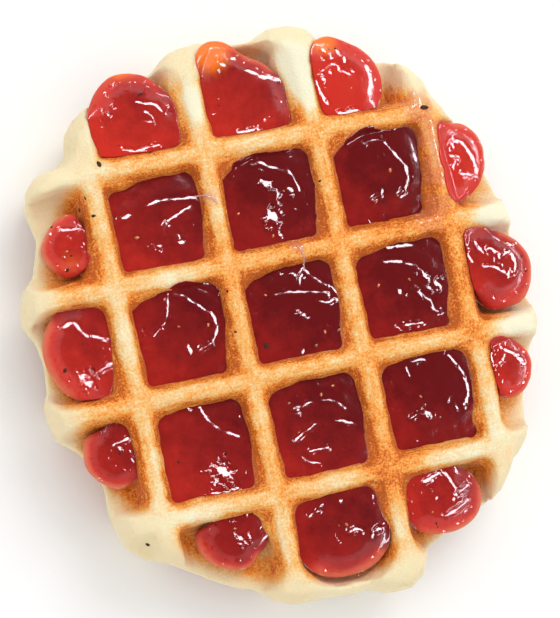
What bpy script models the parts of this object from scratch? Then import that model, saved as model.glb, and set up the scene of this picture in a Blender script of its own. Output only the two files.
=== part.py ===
"""A round Belgian waffle that lies flat, with a spoonful of jam in every pocket.

Frame: +Z up, origin on the table under the middle of the waffle. The ridges run along X and Y.
Run with: blender --background --python part.py
"""

import math
from dataclasses import dataclass

import bmesh
import bpy

MM = 0.001

# The iron's lattice. Ridges run along X and Y, and a pocket lies between four of them.
PITCH = 22.0 * MM
THICKNESS = 22.0 * MM
WEB = 5.0 * MM
MOUTH = 18.9 * MM
DRAFT = math.radians(12.0)
POCKET_CORNER = 1.9 * MM
OPEN_CORNER = 7.4 * MM
CROWN_ROUND = 0.6 * MM
FLOOR_FILLET = 0.9 * MM
MIDDLE = THICKNESS / 2
DEPTH = (THICKNESS - WEB) / 2
FLOOR = THICKNESS - DEPTH

# The edge of the dough: an oval with a lobe where each ridge runs out.
OVAL_RADIUS = 51.1 * MM
OVAL_STRETCH = 2.9 * MM
OVAL_SQUARENESS = 0.7 * MM
OVAL_SHIFT = 0.7 * MM
OVAL_SHIFT_TOWARDS = math.radians(150.0)
LOBE_HALF_WIDTH = 7.8 * MM
RIM_RUN = 5.6 * MM
RIM_POWER = 2.4
RIM_ROWS = 6
RIM_STEP = math.radians(3.75)

# How far each ridge reaches from the middle pocket's centre, in millimetres: (-, +) ends.
# The keys are the ridges' places in pitches.
REACH_ALONG_Y = {-1.5: (-41.0, 45.2), -0.5: (-54.6, 54.8), 0.5: (-56.8, 55.6), 1.5: (-42.4, 43.2)}
REACH_ALONG_X = {1.5: (-45.0, 38.8), 0.5: (-50.6, 46.8), -0.5: (-49.8, 47.8), -1.5: (-40.4, 40.6)}
# Between the ridges the batter ran further out at two spots, and fell short at a third.
UNEVEN_SPOTS = ((0.0, -55.4), (-38.4, -38.2), (-42.6, -22.2))

# Jam, and the thin gap that keeps it clear of the dough. Its skirt draws in towards the floor,
# and its upper surface is rings at these shares of the way out from its middle.
GAP = 0.3 * MM
JAM_FLOOR_SPREAD = 0.86
JAM_FILLET_SPREAD = 0.93
JAM_TOP_RINGS = (0.88, 0.62, 0.30)
JAM_ANGLES = (0.0, 34.0, 45.0, 56.0)
TONGUE_HALF_ANGLE = math.radians(30.0)

# Corners of a pocket's outline per quarter turn, in degrees.
TOP_ANGLES = (39.0, 45.0, 51.0)
UNDER_ANGLES = (39.0, 51.0)
OPEN_ANGLES = (18.0, 35.0, 45.0, 55.0, 72.0)


@dataclass
class Spoonful:
    """One blob of jam. Lengths are millimetres, in its pocket's own X and Y."""

    row: int
    column: int
    centre: tuple = (0.0, 0.0)
    reach: tuple = (14.0, 14.0)
    drop: float = 2.8  # how far below the crowns its edge meets the walls
    swell: float = 1.2  # how far it rises from that edge to its middle
    dollop: tuple = (0.0, 0.0, 7.0, 2.0)  # x, y, radius and height of the lump on top
    tongue: tuple = (0.0, 0.0)  # a run-out beyond the round outline: direction, length


SPOONFULS = (
    Spoonful(4, 1, (-0.6, -1.6), (8.4, 8.5), 3.6, 3.2, (-0.5, 0.0, 6.5, 0.9)),
    Spoonful(4, 2, (-1.2, -1.2), (8.6, 8.7), 3.0, 2.0, (1.5, 1.0, 6.5, 0.8), (114.0, 3.6)),
    Spoonful(4, 3, (-2.6, -2.2), (8.0, 8.6), 3.2, 3.0, (-3.0, -1.0, 6.0, 0.9), (122.0, 2.0)),
    Spoonful(3, 0, (4.2, -1.3), (5.2, 6.1), 5.4, 3.0, (4.2, -1.0, 3.8, 0.7)),
    Spoonful(3, 1, dollop=(3.0, 0.3, 6.7, 2.3), drop=3.2),
    Spoonful(3, 2, dollop=(-0.7, 1.2, 7.3, 2.6)),
    Spoonful(3, 3, dollop=(0.5, 1.0, 6.4, 3.0), drop=3.0),
    Spoonful(3, 4, (-5.2, 0.4), (4.9, 7.5), 3.6, 3.4, (-5.0, 0.6, 4.0, 0.8)),
    Spoonful(2, 0, (2.4, 0.8), (6.8, 8.5), 4.6, 2.9, (2.4, 0.5, 5.5, 0.6)),
    Spoonful(2, 1, dollop=(1.7, 1.4, 6.3, 2.6), drop=3.2),
    Spoonful(2, 2, dollop=(1.5, 0.2, 7.3, 2.0)),
    Spoonful(2, 3, dollop=(-0.7, -0.3, 7.3, 2.5)),
    Spoonful(2, 4, (-2.8, 0.9), (6.6, 8.0), 3.4, 3.2, (-2.5, 2.0, 5.5, 0.8)),
    Spoonful(1, 0, (4.3, 2.2), (5.2, 5.9), 5.0, 2.9, (4.5, 2.4, 3.8, 0.6)),
    Spoonful(1, 1, dollop=(2.9, -0.8, 7.2, 2.0), drop=3.2),
    Spoonful(1, 2, dollop=(-0.8, 0.1, 8.0, 2.0)),
    Spoonful(1, 3, dollop=(0.5, 1.5, 6.9, 2.8)),
    Spoonful(1, 4, (-4.7, 3.2), (4.8, 6.0), 3.8, 3.2, (-4.7, 3.2, 3.8, 0.7)),
    Spoonful(0, 1, (1.4, 4.6), (6.4, 6.2), 4.8, 2.6, (2.0, 4.4, 4.5, 0.6)),
    Spoonful(0, 2, (-0.2, 1.2), (8.5, 8.2), 3.2, 2.0, (0.0, 1.5, 7.0, 1.2)),
    Spoonful(0, 3, (-1.5, 2.9), (7.8, 6.3), 3.8, 2.6, (-0.5, 3.0, 5.5, 0.9)),
)


def oval(angle):
    """Radius of the dough's edge between the ridges."""
    return (
        OVAL_RADIUS
        - OVAL_STRETCH * math.cos(2 * angle)
        - OVAL_SQUARENESS * math.cos(4 * angle)
        + OVAL_SHIFT * math.cos(angle - OVAL_SHIFT_TOWARDS)
    )


def edge_lobes():
    """Where the dough's edge leaves the oval, from the middle pocket's centre."""
    for step, ends in REACH_ALONG_Y.items():
        for end in ends:
            yield step * PITCH, end * MM
    for step, ends in REACH_ALONG_X.items():
        for end in ends:
            yield end * MM, step * PITCH
    for x, y in UNEVEN_SPOTS:
        yield x * MM, y * MM


def edge_radius(angle):
    """Radius of the dough's edge: the oval, with a blunt lobe at each ridge's end."""
    radius = oval(angle)
    for x, y in edge_lobes():
        towards = math.atan2(y, x)
        reach = math.hypot(x, y)
        share = abs(math.remainder(angle - towards, math.tau)) * reach / LOBE_HALF_WIDTH
        if share < 1:
            radius += (reach - oval(towards)) * (1 - share**3) ** 2
    return radius


def dough_edge():
    """The dough's edge seen from above, with a point on the tip of every lobe."""
    tips = sorted(math.atan2(y, x) for x, y in edge_lobes())
    edge = []
    for tip, following in zip(tips, tips[1:] + [tips[0] + math.tau]):
        steps = max(2, round((following - tip) / RIM_STEP))
        for i in range(steps):
            angle = tip + (following - tip) * i / steps
            radius = edge_radius(angle)
            edge.append((radius * math.cos(angle), radius * math.sin(angle)))
    return edge


def lattice_shift():
    """Moves the lattice so that the origin lies under the middle of the dough's outline."""
    xs, ys = zip(*dough_edge())
    return -(min(xs) + max(xs)) / 2, -(min(ys) + max(ys)) / 2


def pocket_centre(row, column):
    """Centre of a pocket. Row 0 is nearest -Y, column 0 nearest -X."""
    dx, dy = lattice_shift()
    return (column - 2) * PITCH + dx, (row - 2) * PITCH + dy


def corner_radius(row, column, x, y):
    """A pocket's corner is wide where the pocket opens at the dough's edge."""
    outer = (
        (column == 0 and x < 0)
        or (column == 4 and x > 0)
        or (row == 0 and y < 0)
        or (row == 4 and y > 0)
    )
    return OPEN_CORNER if outer else POCKET_CORNER


def pocket_distance(row, column, half, x, y):
    """Signed distance from a pocket's outline at one height, a square with rounded corners."""
    corner = min(corner_radius(row, column, x, y), half)
    qx, qy = abs(x) - half + corner, abs(y) - half + corner
    return math.hypot(max(qx, 0.0), max(qy, 0.0)) + min(max(qx, qy), 0.0) - corner


def wall_reach(row, column, half, start, angle):
    """How far a point inside a pocket is from its wall, in one direction."""
    near, far = 0.0, 2 * PITCH
    for _ in range(40):
        reach = (near + far) / 2
        x, y = start[0] + reach * math.cos(angle), start[1] + reach * math.sin(angle)
        if pocket_distance(row, column, half, x, y) < 0:
            near = reach
        else:
            far = reach
    return near


def mouth_half(height):
    """Half the width between a pocket's flat walls, this far above its floor."""
    return MOUTH / 2 - (DEPTH - height) * math.tan(DRAFT)


def quarter_turns(angles):
    """Repeats a quarter's angles, in degrees, all the way round, in radians."""
    return [math.radians(90.0 * quarter + a) for quarter in range(4) for a in angles]


def loft(name, rings, apex=None):
    """A closed solid through rings of equal count, capped flat, or by a fan to an apex."""
    shape = bmesh.new()
    loops = [[shape.verts.new(point) for point in ring] for ring in rings]
    count = len(loops[0])
    for low, high in zip(loops, loops[1:]):
        for i in range(count):
            j = (i + 1) % count
            shape.faces.new((low[i], low[j], high[j], high[i]))
    shape.faces.new(list(reversed(loops[0])))
    if apex is None:
        shape.faces.new(loops[-1])
    else:
        top = shape.verts.new(apex)
        for i in range(count):
            shape.faces.new((loops[-1][i], loops[-1][(i + 1) % count], top))
    bmesh.ops.recalc_face_normals(shape, faces=shape.faces)
    mesh = bpy.data.meshes.new(name)
    shape.to_mesh(mesh)
    shape.free()
    mesh.shade_smooth()
    mesh.set_sharp_from_angle(angle=math.radians(40.0))
    return bpy.data.objects.new(name, mesh)


def collection(name):
    made = bpy.data.collections.new(name)
    bpy.context.scene.collection.children.link(made)
    return made


def material(name, colour, roughness, metallic=0.0, coat=0.0):
    """A Principled BSDF surface."""
    made = bpy.data.materials.new(name)
    made.use_nodes = True
    shader = made.node_tree.nodes["Principled BSDF"]
    shader.inputs["Base Color"].default_value = (*colour, 1.0)
    shader.inputs["Roughness"].default_value = roughness
    shader.inputs["Metallic"].default_value = metallic
    shader.inputs["Coat Weight"].default_value = coat
    return made


def dough_blank():
    """The waffle before its pockets: flat above and below, with a rounded, lobed rim."""
    dx, dy = lattice_shift()
    edge = dough_edge()
    rings = []
    for row in range(RIM_ROWS + 1):
        turn = math.pi * (row / RIM_ROWS - 0.5)
        inset = RIM_RUN * (1 - math.cos(turn) ** (2 / RIM_POWER))
        height = math.copysign(abs(math.sin(turn)) ** (2 / RIM_POWER), turn)
        z = MIDDLE + height * THICKNESS / 2
        shrink = [1 - inset / math.hypot(x, y) for x, y in edge]
        rings.append([(x * s + dx, y * s + dy, z) for (x, y), s in zip(edge, shrink)])
    return loft("waffle", rings)


def pocket_cutter(row, column, side):
    """What one tooth of the iron presses out: tapered, filleted at the floor, flared at the mouth."""
    cx, cy = pocket_centre(row, column)
    angles = TOP_ANGLES if side > 0 else UNDER_ANGLES
    if row in (0, 4) or column in (0, 4):
        angles = OPEN_ANGLES
    turns = quarter_turns(angles)
    levels = (
        (0.0, mouth_half(0.0) - FLOOR_FILLET),
        (FLOOR_FILLET, mouth_half(FLOOR_FILLET)),
        (DEPTH - CROWN_ROUND, mouth_half(DEPTH - CROWN_ROUND)),
        (DEPTH, MOUTH / 2 + CROWN_ROUND),
        (DEPTH + 2 * MM, MOUTH / 2 + CROWN_ROUND),
    )
    rings = []
    for height, half in levels:
        z = MIDDLE + side * (WEB / 2 + height)
        reaches = [wall_reach(row, column, half, (0.0, 0.0), a) for a in turns]
        rings.append(
            [(cx + r * math.cos(a), cy + r * math.sin(a), z) for r, a in zip(reaches, turns)]
        )
    face = "top" if side > 0 else "under"
    cutter = loft(f"tooth_{face}_{row}{column}", rings)
    cutter.hide_render = True
    cutter.display_type = "WIRE"
    return cutter


def spoon_outline(jam, angle):
    """How far a blob would spread from its centre on an open table."""
    rx, ry = (length * MM for length in jam.reach)
    round_reach = 1 / math.hypot(math.cos(angle) / rx, math.sin(angle) / ry)
    towards, length = jam.tongue
    away = math.remainder(angle - math.radians(towards), math.tau)
    return round_reach + length * MM * math.exp(-((away / TONGUE_HALF_ANGLE) ** 2))


def jam_ring(jam, height, spread, turns):
    """One level of a blob: its own round outline, held back by the pocket's walls."""
    start = tuple(length * MM for length in jam.centre)
    half = mouth_half(min(height, DEPTH)) - GAP
    ring = []
    for angle in turns:
        wall = wall_reach(jam.row, jam.column, half, start, angle)
        reach = min(wall, spread * spoon_outline(jam, angle))
        ring.append((start[0] + reach * math.cos(angle), start[1] + reach * math.sin(angle)))
    return ring


def jam_rise(jam, x, y, share):
    """Height of a blob's upper surface above its edge. share is 0 at its middle, 1 at its edge."""
    lump_x, lump_y, lump_radius, lump_height = (length * MM for length in jam.dollop)
    away = math.hypot(x - lump_x, y - lump_y) / lump_radius
    lump = lump_height * max(0.0, 1 - away**2) ** 0.8
    return jam.swell * MM * math.sqrt(1 - share**2) + lump


def jam_blob(jam):
    """A spoonful of jam: it fills the foot of its pocket and stands up in a soft dollop."""
    turns = quarter_turns(JAM_ANGLES)
    start = tuple(length * MM for length in jam.centre)
    edge_height = DEPTH - jam.drop * MM
    fillet_height = FLOOR_FILLET + GAP
    floor = jam_ring(jam, GAP, JAM_FLOOR_SPREAD, turns)
    shrink = [1 - FLOOR_FILLET / math.hypot(x, y) for x, y in floor]
    fillet = jam_ring(jam, fillet_height, JAM_FILLET_SPREAD, turns)
    edge = jam_ring(jam, edge_height, 1.0, turns)
    rings = [
        [(x * s, y * s, GAP) for (x, y), s in zip(floor, shrink)],
        [(x, y, fillet_height) for x, y in fillet],
        [(x, y, edge_height) for x, y in edge],
    ]
    for share in JAM_TOP_RINGS:
        ring = []
        for edge_x, edge_y in edge:
            x = start[0] + share * (edge_x - start[0])
            y = start[1] + share * (edge_y - start[1])
            ring.append((x, y, edge_height + jam_rise(jam, x, y, share)))
        rings.append(ring)
    apex = (*start, edge_height + jam_rise(jam, *start, 0.0))

    cx, cy = pocket_centre(jam.row, jam.column)
    placed = [[(cx + x, cy + y, FLOOR + z) for x, y, z in ring] for ring in rings]
    top = (cx + apex[0], cy + apex[1], FLOOR + apex[2])
    return loft(f"jam_{jam.row}{jam.column}", placed, top)


def build():
    for obj in list(bpy.data.objects):
        bpy.data.objects.remove(obj)
    parts = collection("belgian_waffle")
    teeth = collection("iron_teeth")
    crust = material("golden_crust", (0.83, 0.49, 0.17), 0.62)
    jelly = material("red_jam", (0.42, 0.012, 0.012), 0.08, coat=0.6)

    waffle = dough_blank()
    waffle.data.materials.append(crust)
    parts.objects.link(waffle)
    for row in range(5):
        for column in range(5):
            for side in (1, -1):
                tooth = pocket_cutter(row, column, side)
                tooth.data.materials.append(crust)
                teeth.objects.link(tooth)
    press = waffle.modifiers.new("press_the_iron", "BOOLEAN")
    press.operation = "DIFFERENCE"
    press.operand_type = "COLLECTION"
    press.collection = teeth
    press.solver = "EXACT"

    for jam in SPOONFULS:
        blob = jam_blob(jam)
        blob.data.materials.append(jelly)
        parts.objects.link(blob)


build()
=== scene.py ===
"""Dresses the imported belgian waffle: baked crust, spooned jam, seeds, specks and a plain stage.

The file is laid out as an add-on and is run as a script. Lengths are metres, but the tables and
the sums that shape the crust and the jam are in millimetres.
"""

import math
import random
from dataclasses import dataclass

import bmesh
import bpy
import numpy as np
from bpy.props import FloatProperty, FloatVectorProperty, IntProperty, PointerProperty
from bpy.types import Operator, Panel, PropertyGroup
from mathutils import Matrix, Vector, noise
from mathutils.bvhtree import BVHTree


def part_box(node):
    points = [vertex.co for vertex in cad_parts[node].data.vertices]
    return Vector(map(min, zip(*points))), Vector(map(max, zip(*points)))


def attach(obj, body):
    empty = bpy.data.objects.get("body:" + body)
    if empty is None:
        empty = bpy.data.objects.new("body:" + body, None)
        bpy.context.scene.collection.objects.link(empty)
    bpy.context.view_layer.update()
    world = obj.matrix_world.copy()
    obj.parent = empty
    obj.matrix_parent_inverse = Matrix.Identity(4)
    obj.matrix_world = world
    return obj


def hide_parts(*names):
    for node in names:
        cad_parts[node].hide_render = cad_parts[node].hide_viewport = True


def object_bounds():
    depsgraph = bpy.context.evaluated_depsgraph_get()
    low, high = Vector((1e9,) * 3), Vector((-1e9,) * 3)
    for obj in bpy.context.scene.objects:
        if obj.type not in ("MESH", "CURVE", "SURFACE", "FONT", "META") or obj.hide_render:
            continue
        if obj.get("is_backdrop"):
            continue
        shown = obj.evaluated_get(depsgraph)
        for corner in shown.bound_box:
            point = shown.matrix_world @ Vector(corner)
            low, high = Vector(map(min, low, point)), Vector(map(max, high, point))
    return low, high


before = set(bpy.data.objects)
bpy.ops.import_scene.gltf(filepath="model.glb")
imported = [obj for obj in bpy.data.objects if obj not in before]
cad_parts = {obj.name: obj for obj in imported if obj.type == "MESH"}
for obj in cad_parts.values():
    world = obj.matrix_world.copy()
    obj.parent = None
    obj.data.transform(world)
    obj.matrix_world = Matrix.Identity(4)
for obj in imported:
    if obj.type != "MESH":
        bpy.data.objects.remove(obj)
CAD_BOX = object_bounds()

bl_info = {
    "name": "Belgian Waffle Dresser",
    "version": (1, 0, 0),
    "blender": (4, 5, 0),
    "location": "View3D > Sidebar > Waffle",
    "description": "Bakes the crust, spoons the jam and sets the table for a belgian waffle",
    "category": "Object",
}

MM = 0.001
BODY = "root"
UP, DOWN = Vector((0, 0, 1)), Vector((0, 0, -1))


def middle_of(node):
    """Centre of a CAD node's box."""
    low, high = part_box(node)
    return (low + high) / 2


# The lattice, read from the frame: the middle pocket's centre, the pitch and the crowns' height.
LATTICE = middle_of("jam_22")
PITCH = middle_of("jam_23").x - LATTICE.x
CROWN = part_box("waffle")[1].z
PITCH_MM, CROWN_MM = PITCH / MM, CROWN / MM


@dataclass
class Spoonful:
    """How one blob of jam lies in its pocket. Lengths are millimetres from the pocket's centre."""

    row: int
    column: int
    glow: float  # 0 is deep wine red, 1 is bright scarlet
    drop: float  # its edge below the crowns
    lean: tuple  # towards which side its surface climbs, in degrees, and how much
    mound: tuple  # x, y, radius and height of the lump on top
    folds: tuple = ()  # lines along which its skin is folded
    dents: tuple = ()  # x, y and radius of small flat facets in its skin
    swell: float = 0.7  # rise from its edge to its middle
    seat: tuple = (0.0, 0.0)  # its middle
    blush: float = 0.0  # how far its free edge thins to orange
    amber: tuple = (0.0, 0.0, 1.0, 0.0)  # x, y and radius of an orange stretch, and how orange
    shore: tuple = ()  # points along its edge, clockwise, where it climbs on the crust

    @property
    def node(self):
        """The CAD node that the blob stands for."""
        return f"jam_{self.row}{self.column}"

    @property
    def piece(self):
        """What the blob is called in the scene."""
        return f"spoonful_{self.row}{self.column}"

    @property
    def centre(self):
        """The middle of its pocket, on the table and in metres."""
        x = LATTICE.x + (self.column - 2) * PITCH
        y = LATTICE.y + (self.row - 2) * PITCH
        return Vector((x, y, 0.0))


SPOONFULS = (
    Spoonful(
        4, 1, glow=0.7, drop=3.4, swell=2.2, seat=(-0.6, -1.6), blush=0.5,
        lean=(100, 0.3), mound=(-0.8, -0.6, 6, 0.3), amber=(-1.4, 7.6, 2.6, 0.75),
        folds=(
            ((0.6, 0.8), (2, 0.2), (3.6, 0.1), (4.6, -1.2), (5.4, -2.2)),
            ((1.8, -1.4), (3.1, -2.5), (3, -3.4), (1.2, -3)),
            ((-3.6, -7.6), (-2, -8.2), (0.4, -8.1), (2.8, -7.8)),
        ),
        dents=(
            (6.2, -1.5, 0.6), (-6.8, -1.3, 0.45), (-6.6, -2.6, 0.4), (-4.9, -2, 0.4), (-3.2, 4.8, 0.5),
            (-6.2, 0.6, 0.55), (-4.1, 0.8, 0.5), (-5.2, -0.6, 0.55),
        ),
        shore=(
            (-8.5, 0.8), (-7.5, 3.2), (-5.4, 5.5), (-3, 6.9), (-0.1, 6.9), (3, 5.9), (5.4, 3.7),
            (7, 0.5), (7.6, -3.4),
        ),
    ),
    Spoonful(
        4, 2, glow=0.58, drop=3, swell=1.6, seat=(-1.2, -1.2), blush=0.7,
        lean=(120, 0.3), mound=(-2, -1, 7, 0.3), amber=(-5.8, 7.6, 4, 1),
        folds=(((0.4, 3), (2.2, 2)), ((3, 1.3), (4.6, 0.8), (6.2, 0.1)), ((-3.4, -8.4), (0.5, -8.3))),
        dents=((-3.8, 4.8, 0.8), (-4.6, 6.2, 0.4), (-3, 6, 0.4), (-1.7, 5.6, 0.4), (2, -6.8, 0.5)),
        shore=(
            (-9.4, 4), (-9.2, 6.6), (-7.9, 8.7), (-6.1, 9.8), (-3.9, 10), (-1.8, 9), (-0.2, 6.9),
            (1.8, 5.4), (4, 4.2), (5.6, 2.3), (6.8, 0), (7, -3), (6.8, -6),
        ),
    ),
    Spoonful(
        4, 3, glow=0.98, drop=3.2, swell=2, seat=(-2.6, -2.2), blush=0.5,
        lean=(120, 0.4), mound=(-3.4, -1.6, 5.6, 0.3), amber=(-5.6, 5.8, 2.8, 0.9),
        folds=(
            ((-7.8, -0.2), (-6.4, 0.6), (-4.4, 1.4), (-3.5, -0.5), (-2, -1.3)),
            ((1.7, -0.6), (2.1, -3), (1.2, -5.6)),
            ((-8.6, -1.6), (-8.3, -4), (-7.4, -6)),
            ((-5.4, -8.4), (-1.8, -8.4)),
        ),
        dents=(
            (-6, 4.1, 0.6), (-4.9, 2.8, 0.6), (-3.4, 3.2, 0.55), (-6.4, 2.4, 0.5), (-5.6, -0.4, 0.7),
            (-3.9, 0.2, 0.6), (-2.5, 1.5, 0.55), (-1.2, -1, 0.5), (-7.2, -1.4, 0.6),
        ),
        shore=(
            (-9.2, 3.9), (-7.9, 5.7), (-6, 7), (-4.4, 7.1), (-2.6, 6.2), (-0.5, 4.8), (2.4, 2.5),
            (4.1, -0.4), (4.5, -3.9), (3.6, -7), (1.8, -9),
        ),
    ),
    Spoonful(
        3, 0, glow=0.92, drop=5.2, swell=1.9, seat=(4.2, -1.3), blush=0.9,
        lean=(0, 0.5), mound=(4.2, -1, 3.8, 0.3), amber=(4, -4.6, 3, 0.35),
        folds=(((4, 2), (6, 1.4), (7.2, 2.2)),),
        dents=((3.4, -3.1, 0.35), (5, 0.4, 0.3)),
        shore=(
            (8.1, -3.7), (6.9, -5.8), (5, -6.9), (3.1, -6.9), (1.1, -5.1), (-0.2, -3), (-0.7, -1),
            (0.3, 1), (1.6, 2.6), (3.3, 4.2), (5.6, 4.9), (7.7, 4.6),
        ),
    ),
    Spoonful(
        3, 1, glow=0.4, drop=3.6,
        lean=(-40, 0.5), mound=(1.6, -1, 7, 0.5),
        folds=(
            ((-1.2, 3.4), (0.5, 3.9), (3.5, 3.6), (7.4, 3.2)),
            ((6.4, 1.6), (3.6, 0.6), (1.3, -0.6), (0.6, -2.2)),
            ((-6, 2), (-5.2, 2.2)),
        ),
        dents=(
            (-0.8, -4.6, 0.8), (3.5, -3.6, 0.8), (3.5, -4.8, 0.8), (3.6, -6.4, 0.3), (-0.4, -6.4, 0.3),
        ),
    ),
    Spoonful(
        3, 2, glow=0.12, drop=3.1,
        lean=(-20, 0.4), mound=(0.6, 0.8, 7.4, 0.5),
        folds=(
            ((-2, 7.2), (-0.2, 7.3), (1, 6.2), (3, 5.3), (4.3, 4.6)),
            ((4.4, 5.2), (5.1, 3.4), (5.6, 0.8)),
        ),
        dents=(
            (-0.6, 5.8, 0.4), (-0.3, 3.1, 1.1), (0.4, 1.9, 0.8), (1.5, 0.8, 0.8), (4.1, 1, 0.9),
            (-0.3, -3.3, 1.7), (1.4, -2.8, 0.7), (-1, -5.3, 0.5), (0.3, -7.1, 0.7), (4.2, -2.7, 0.45),
            (-4.4, -3.6, 0.3), (4.4, -6.8, 0.4),
        ),
        shore=((-6, 7.4), (-3.5, 8.8), (-1, 9.4), (2, 9.2), (5, 8.2)),
    ),
    Spoonful(
        3, 3, glow=0.14, drop=3.4,
        lean=(80, 0.7), mound=(0, 2, 6.6, 0.5),
        folds=(
            ((1.7, 7.4), (2.3, 6), (4.2, 3.2), (5.5, 0.8), (5.3, -1.4), (4.4, -3.1), (3, -3.9)),
            ((-1.8, 7.1), (-0.2, 7.5), (1, 7.2)),
            ((-2.4, -3.7), (-1, -3.3), (-0.2, -2.6)),
        ),
        dents=((0.3, 4, 0.45), (1.6, 4.2, 0.35), (5.3, 0.6, 0.5), (-0.1, -1, 0.25)),
        shore=((-5.5, 7.6), (-3.8, 9.2), (-1.6, 10.2), (0.6, 10), (2.2, 8.8), (4, 8)),
    ),
    Spoonful(
        3, 4, glow=0.92, drop=3.3, swell=2.2, seat=(-5.2, 0.4), blush=0.9,
        lean=(170, 0.1), mound=(-5.6, 0.4, 4.2, 0.3),
        folds=(
            ((-7.6, 3), (-6.2, 4.2), (-5, 3.6), (-4, 1.2), (-3.4, -1), (-3.7, -3.8)),
            ((-7.8, 1.3), (-6, 0.8), (-7.2, 0.2), (-7.8, -0.8)),
            ((-6.4, -2.5), (-4.8, -2.9)),
        ),
        dents=((-7, 3, 0.5), (-6.6, 5, 0.4), (-3.8, -3.4, 0.5)),
        shore=(
            (-9.3, -7.2), (-10, -6.8), (-10.1, -4), (-9.8, -1.1), (-9.5, 4.2), (-9, 8.1), (-6.4, 7.9),
            (-4.1, 7.6), (-2, 5.8), (-0.8, 3.1), (-0.9, 0.1), (-1.8, -3.2), (-3.8, -5.7), (-6.3, -7.2),
            (-8.7, -7.3),
        ),
    ),
    Spoonful(
        2, 0, glow=0.78, drop=4.5, swell=2, seat=(2.4, 0.8), blush=0.85,
        lean=(0, 0.5), mound=(2.4, 0.2, 5.4, 0.3),
        folds=(
            ((0.6, 6), (2.5, 6.7), (3.2, 5), (4.4, 3.4)),
            ((5.6, 3.1), (7.8, 2)),
            ((4.2, -3.8), (7.4, -2.6)),
        ),
        dents=((2.4, -4, 1.5), (2.8, -5.6, 1.1), (2.2, -6.2, 0.5), (7.4, 2, 0.4), (0.9, 1.4, 0.25)),
        shore=(
            (4.9, -8), (2.7, -8.3), (0.5, -7.9), (-1.8, -6), (-3.2, -2.8), (-4.2, 0.7), (-4, 3.5),
            (-2.8, 6.2), (-0.6, 8.6), (1.3, 9.6), (3.7, 8.8),
        ),
    ),
    Spoonful(
        2, 1, glow=0.34, drop=3.5,
        lean=(60, 0.5), mound=(1.4, 1.2, 7, 0.5),
        folds=(
            ((0, 7.9), (1.6, 7.4), (2.9, 6), (4.4, 4.4), (6.2, 2.8)),
            ((6.2, 2.8), (6.9, 0.8), (6.1, -1.5), (4.5, -2.9), (2.6, -3.3)),
            ((-1.2, 8), (-1.6, 5.6), (-2.8, 3), (-5.2, 1)),
            ((2.2, 8.6), (4.4, 8.2), (5.8, 7.2)),
        ),
        dents=((0.8, -2.8, 0.9), (4.2, 4.8, 0.6), (-2.8, 3, 0.25), (-1.5, 6.2, 0.2), (8.2, 6, 0.4)),
        shore=((-3, 8.2), (-1, 9.3), (2, 10), (4.5, 9.5), (6.4, 8.4)),
    ),
    Spoonful(
        2, 2, glow=0.1, drop=3.1,
        lean=(-10, 0.5), mound=(1, -0.4, 7.4, 0.5),
        folds=(
            ((3.6, 7.4), (2.2, 6.2), (2, 5)),
            ((3.6, 7.4), (5.2, 5.2), (7.8, 3), (8.8, 1.6)),
            ((-3, 4), (-0.5, 3.9), (2, 3.5), (4.6, 2.9), (7.2, 2.2)),
            ((4.9, 1), (6.6, 0.4), (7.9, 0.9)),
        ),
        dents=(
            (1.4, 6.9, 0.6), (1.2, -1, 0.9), (0.5, -1.4, 0.4), (-1.8, -2.6, 0.4), (-0.2, -7.7, 0.7),
            (-1.2, 4.6, 0.4), (7, 1.8, 0.5), (8.4, 0.6, 0.5),
        ),
    ),
    Spoonful(
        2, 3, glow=0.1, drop=3.1,
        lean=(20, 0.4), mound=(-0.2, 0.2, 7.2, 0.5),
        folds=(
            ((-3, 5.9), (-1.2, 5.6), (0.2, 5.3)),
            ((1.2, 4.7), (3, 4.1), (4.2, 2.4), (4.9, 0.2)),
            ((2, 0.2), (2.6, -1.4), (3.6, -2.6), (4.6, -3.4), (4.4, -5.2), (6, -5.6)),
            ((-3.2, -7), (-1, -6.8), (1.6, -7)),
            ((-1.6, 8.4), (2.8, 8.1)),
        ),
        dents=(
            (-1.2, -0.4, 0.9), (3.4, 3.2, 0.7), (4.4, 1.4, 0.7), (4.6, -0.8, 0.9), (6.4, -0.4, 1),
            (2.4, -0.2, 0.5), (-2.8, -7.1, 0.4), (2.7, -7.2, 0.3),
        ),
    ),
    Spoonful(
        2, 4, glow=0.58, drop=3.2, swell=2.2, seat=(-2.8, 0.9), blush=0.85,
        lean=(150, 0.1), mound=(-3.4, 1.6, 5.4, 0.3),
        folds=(
            ((-8, 7), (-8.9, 4.8), (-8.2, 2.6)),
            ((-6.8, 6), (-5.6, 3.2), (-4.6, 4.4), (-3.5, 4.2), (-3.9, 1.8)),
            ((-6.2, 1), (-4.2, 0.7), (-3, -0.6), (-0.8, -1.4), (0.3, 0.2), (-0.1, 2)),
            ((-3.4, 3.4), (-2.4, 2.4), (-1.2, 2.8)),
        ),
        dents=((-8.2, 5, 0.5), (-6.2, 4.6, 0.5), (-2.8, 2.6, 0.7), (-3.2, 1.2, 0.5), (-1.6, -1, 0.5)),
        shore=(
            (-9, 6.6), (-8.6, 8.9), (-6.1, 8.8), (-2.7, 7.8), (0.5, 6.1), (2.6, 3.9), (3.8, 1.1),
            (3.5, -1.8), (2.5, -4.6), (0.6, -6.9), (-2.6, -7.4), (-6.2, -7.5),
        ),
    ),
    Spoonful(
        1, 0, glow=0.72, drop=4.9, swell=1.9, seat=(4.3, 2.2), blush=1,
        lean=(0, 0.5), mound=(4.5, 2.2, 3.8, 0.3),
        folds=(((4.9, 4.6), (6.2, 4.8), (7.6, 5.1)),),
        dents=((6, 4, 0.5), (4.6, 0.7, 0.35), (3.6, 2.4, 0.3), (6, -0.3, 0.3)),
        shore=(
            (8.6, -2.4), (6.5, -3.2), (4.5, -3.8), (2.3, -2.6), (0.4, -0.6), (-0.8, 2), (-0.5, 4.4),
            (0.2, 6.8), (4.5, 7.6),
        ),
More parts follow.
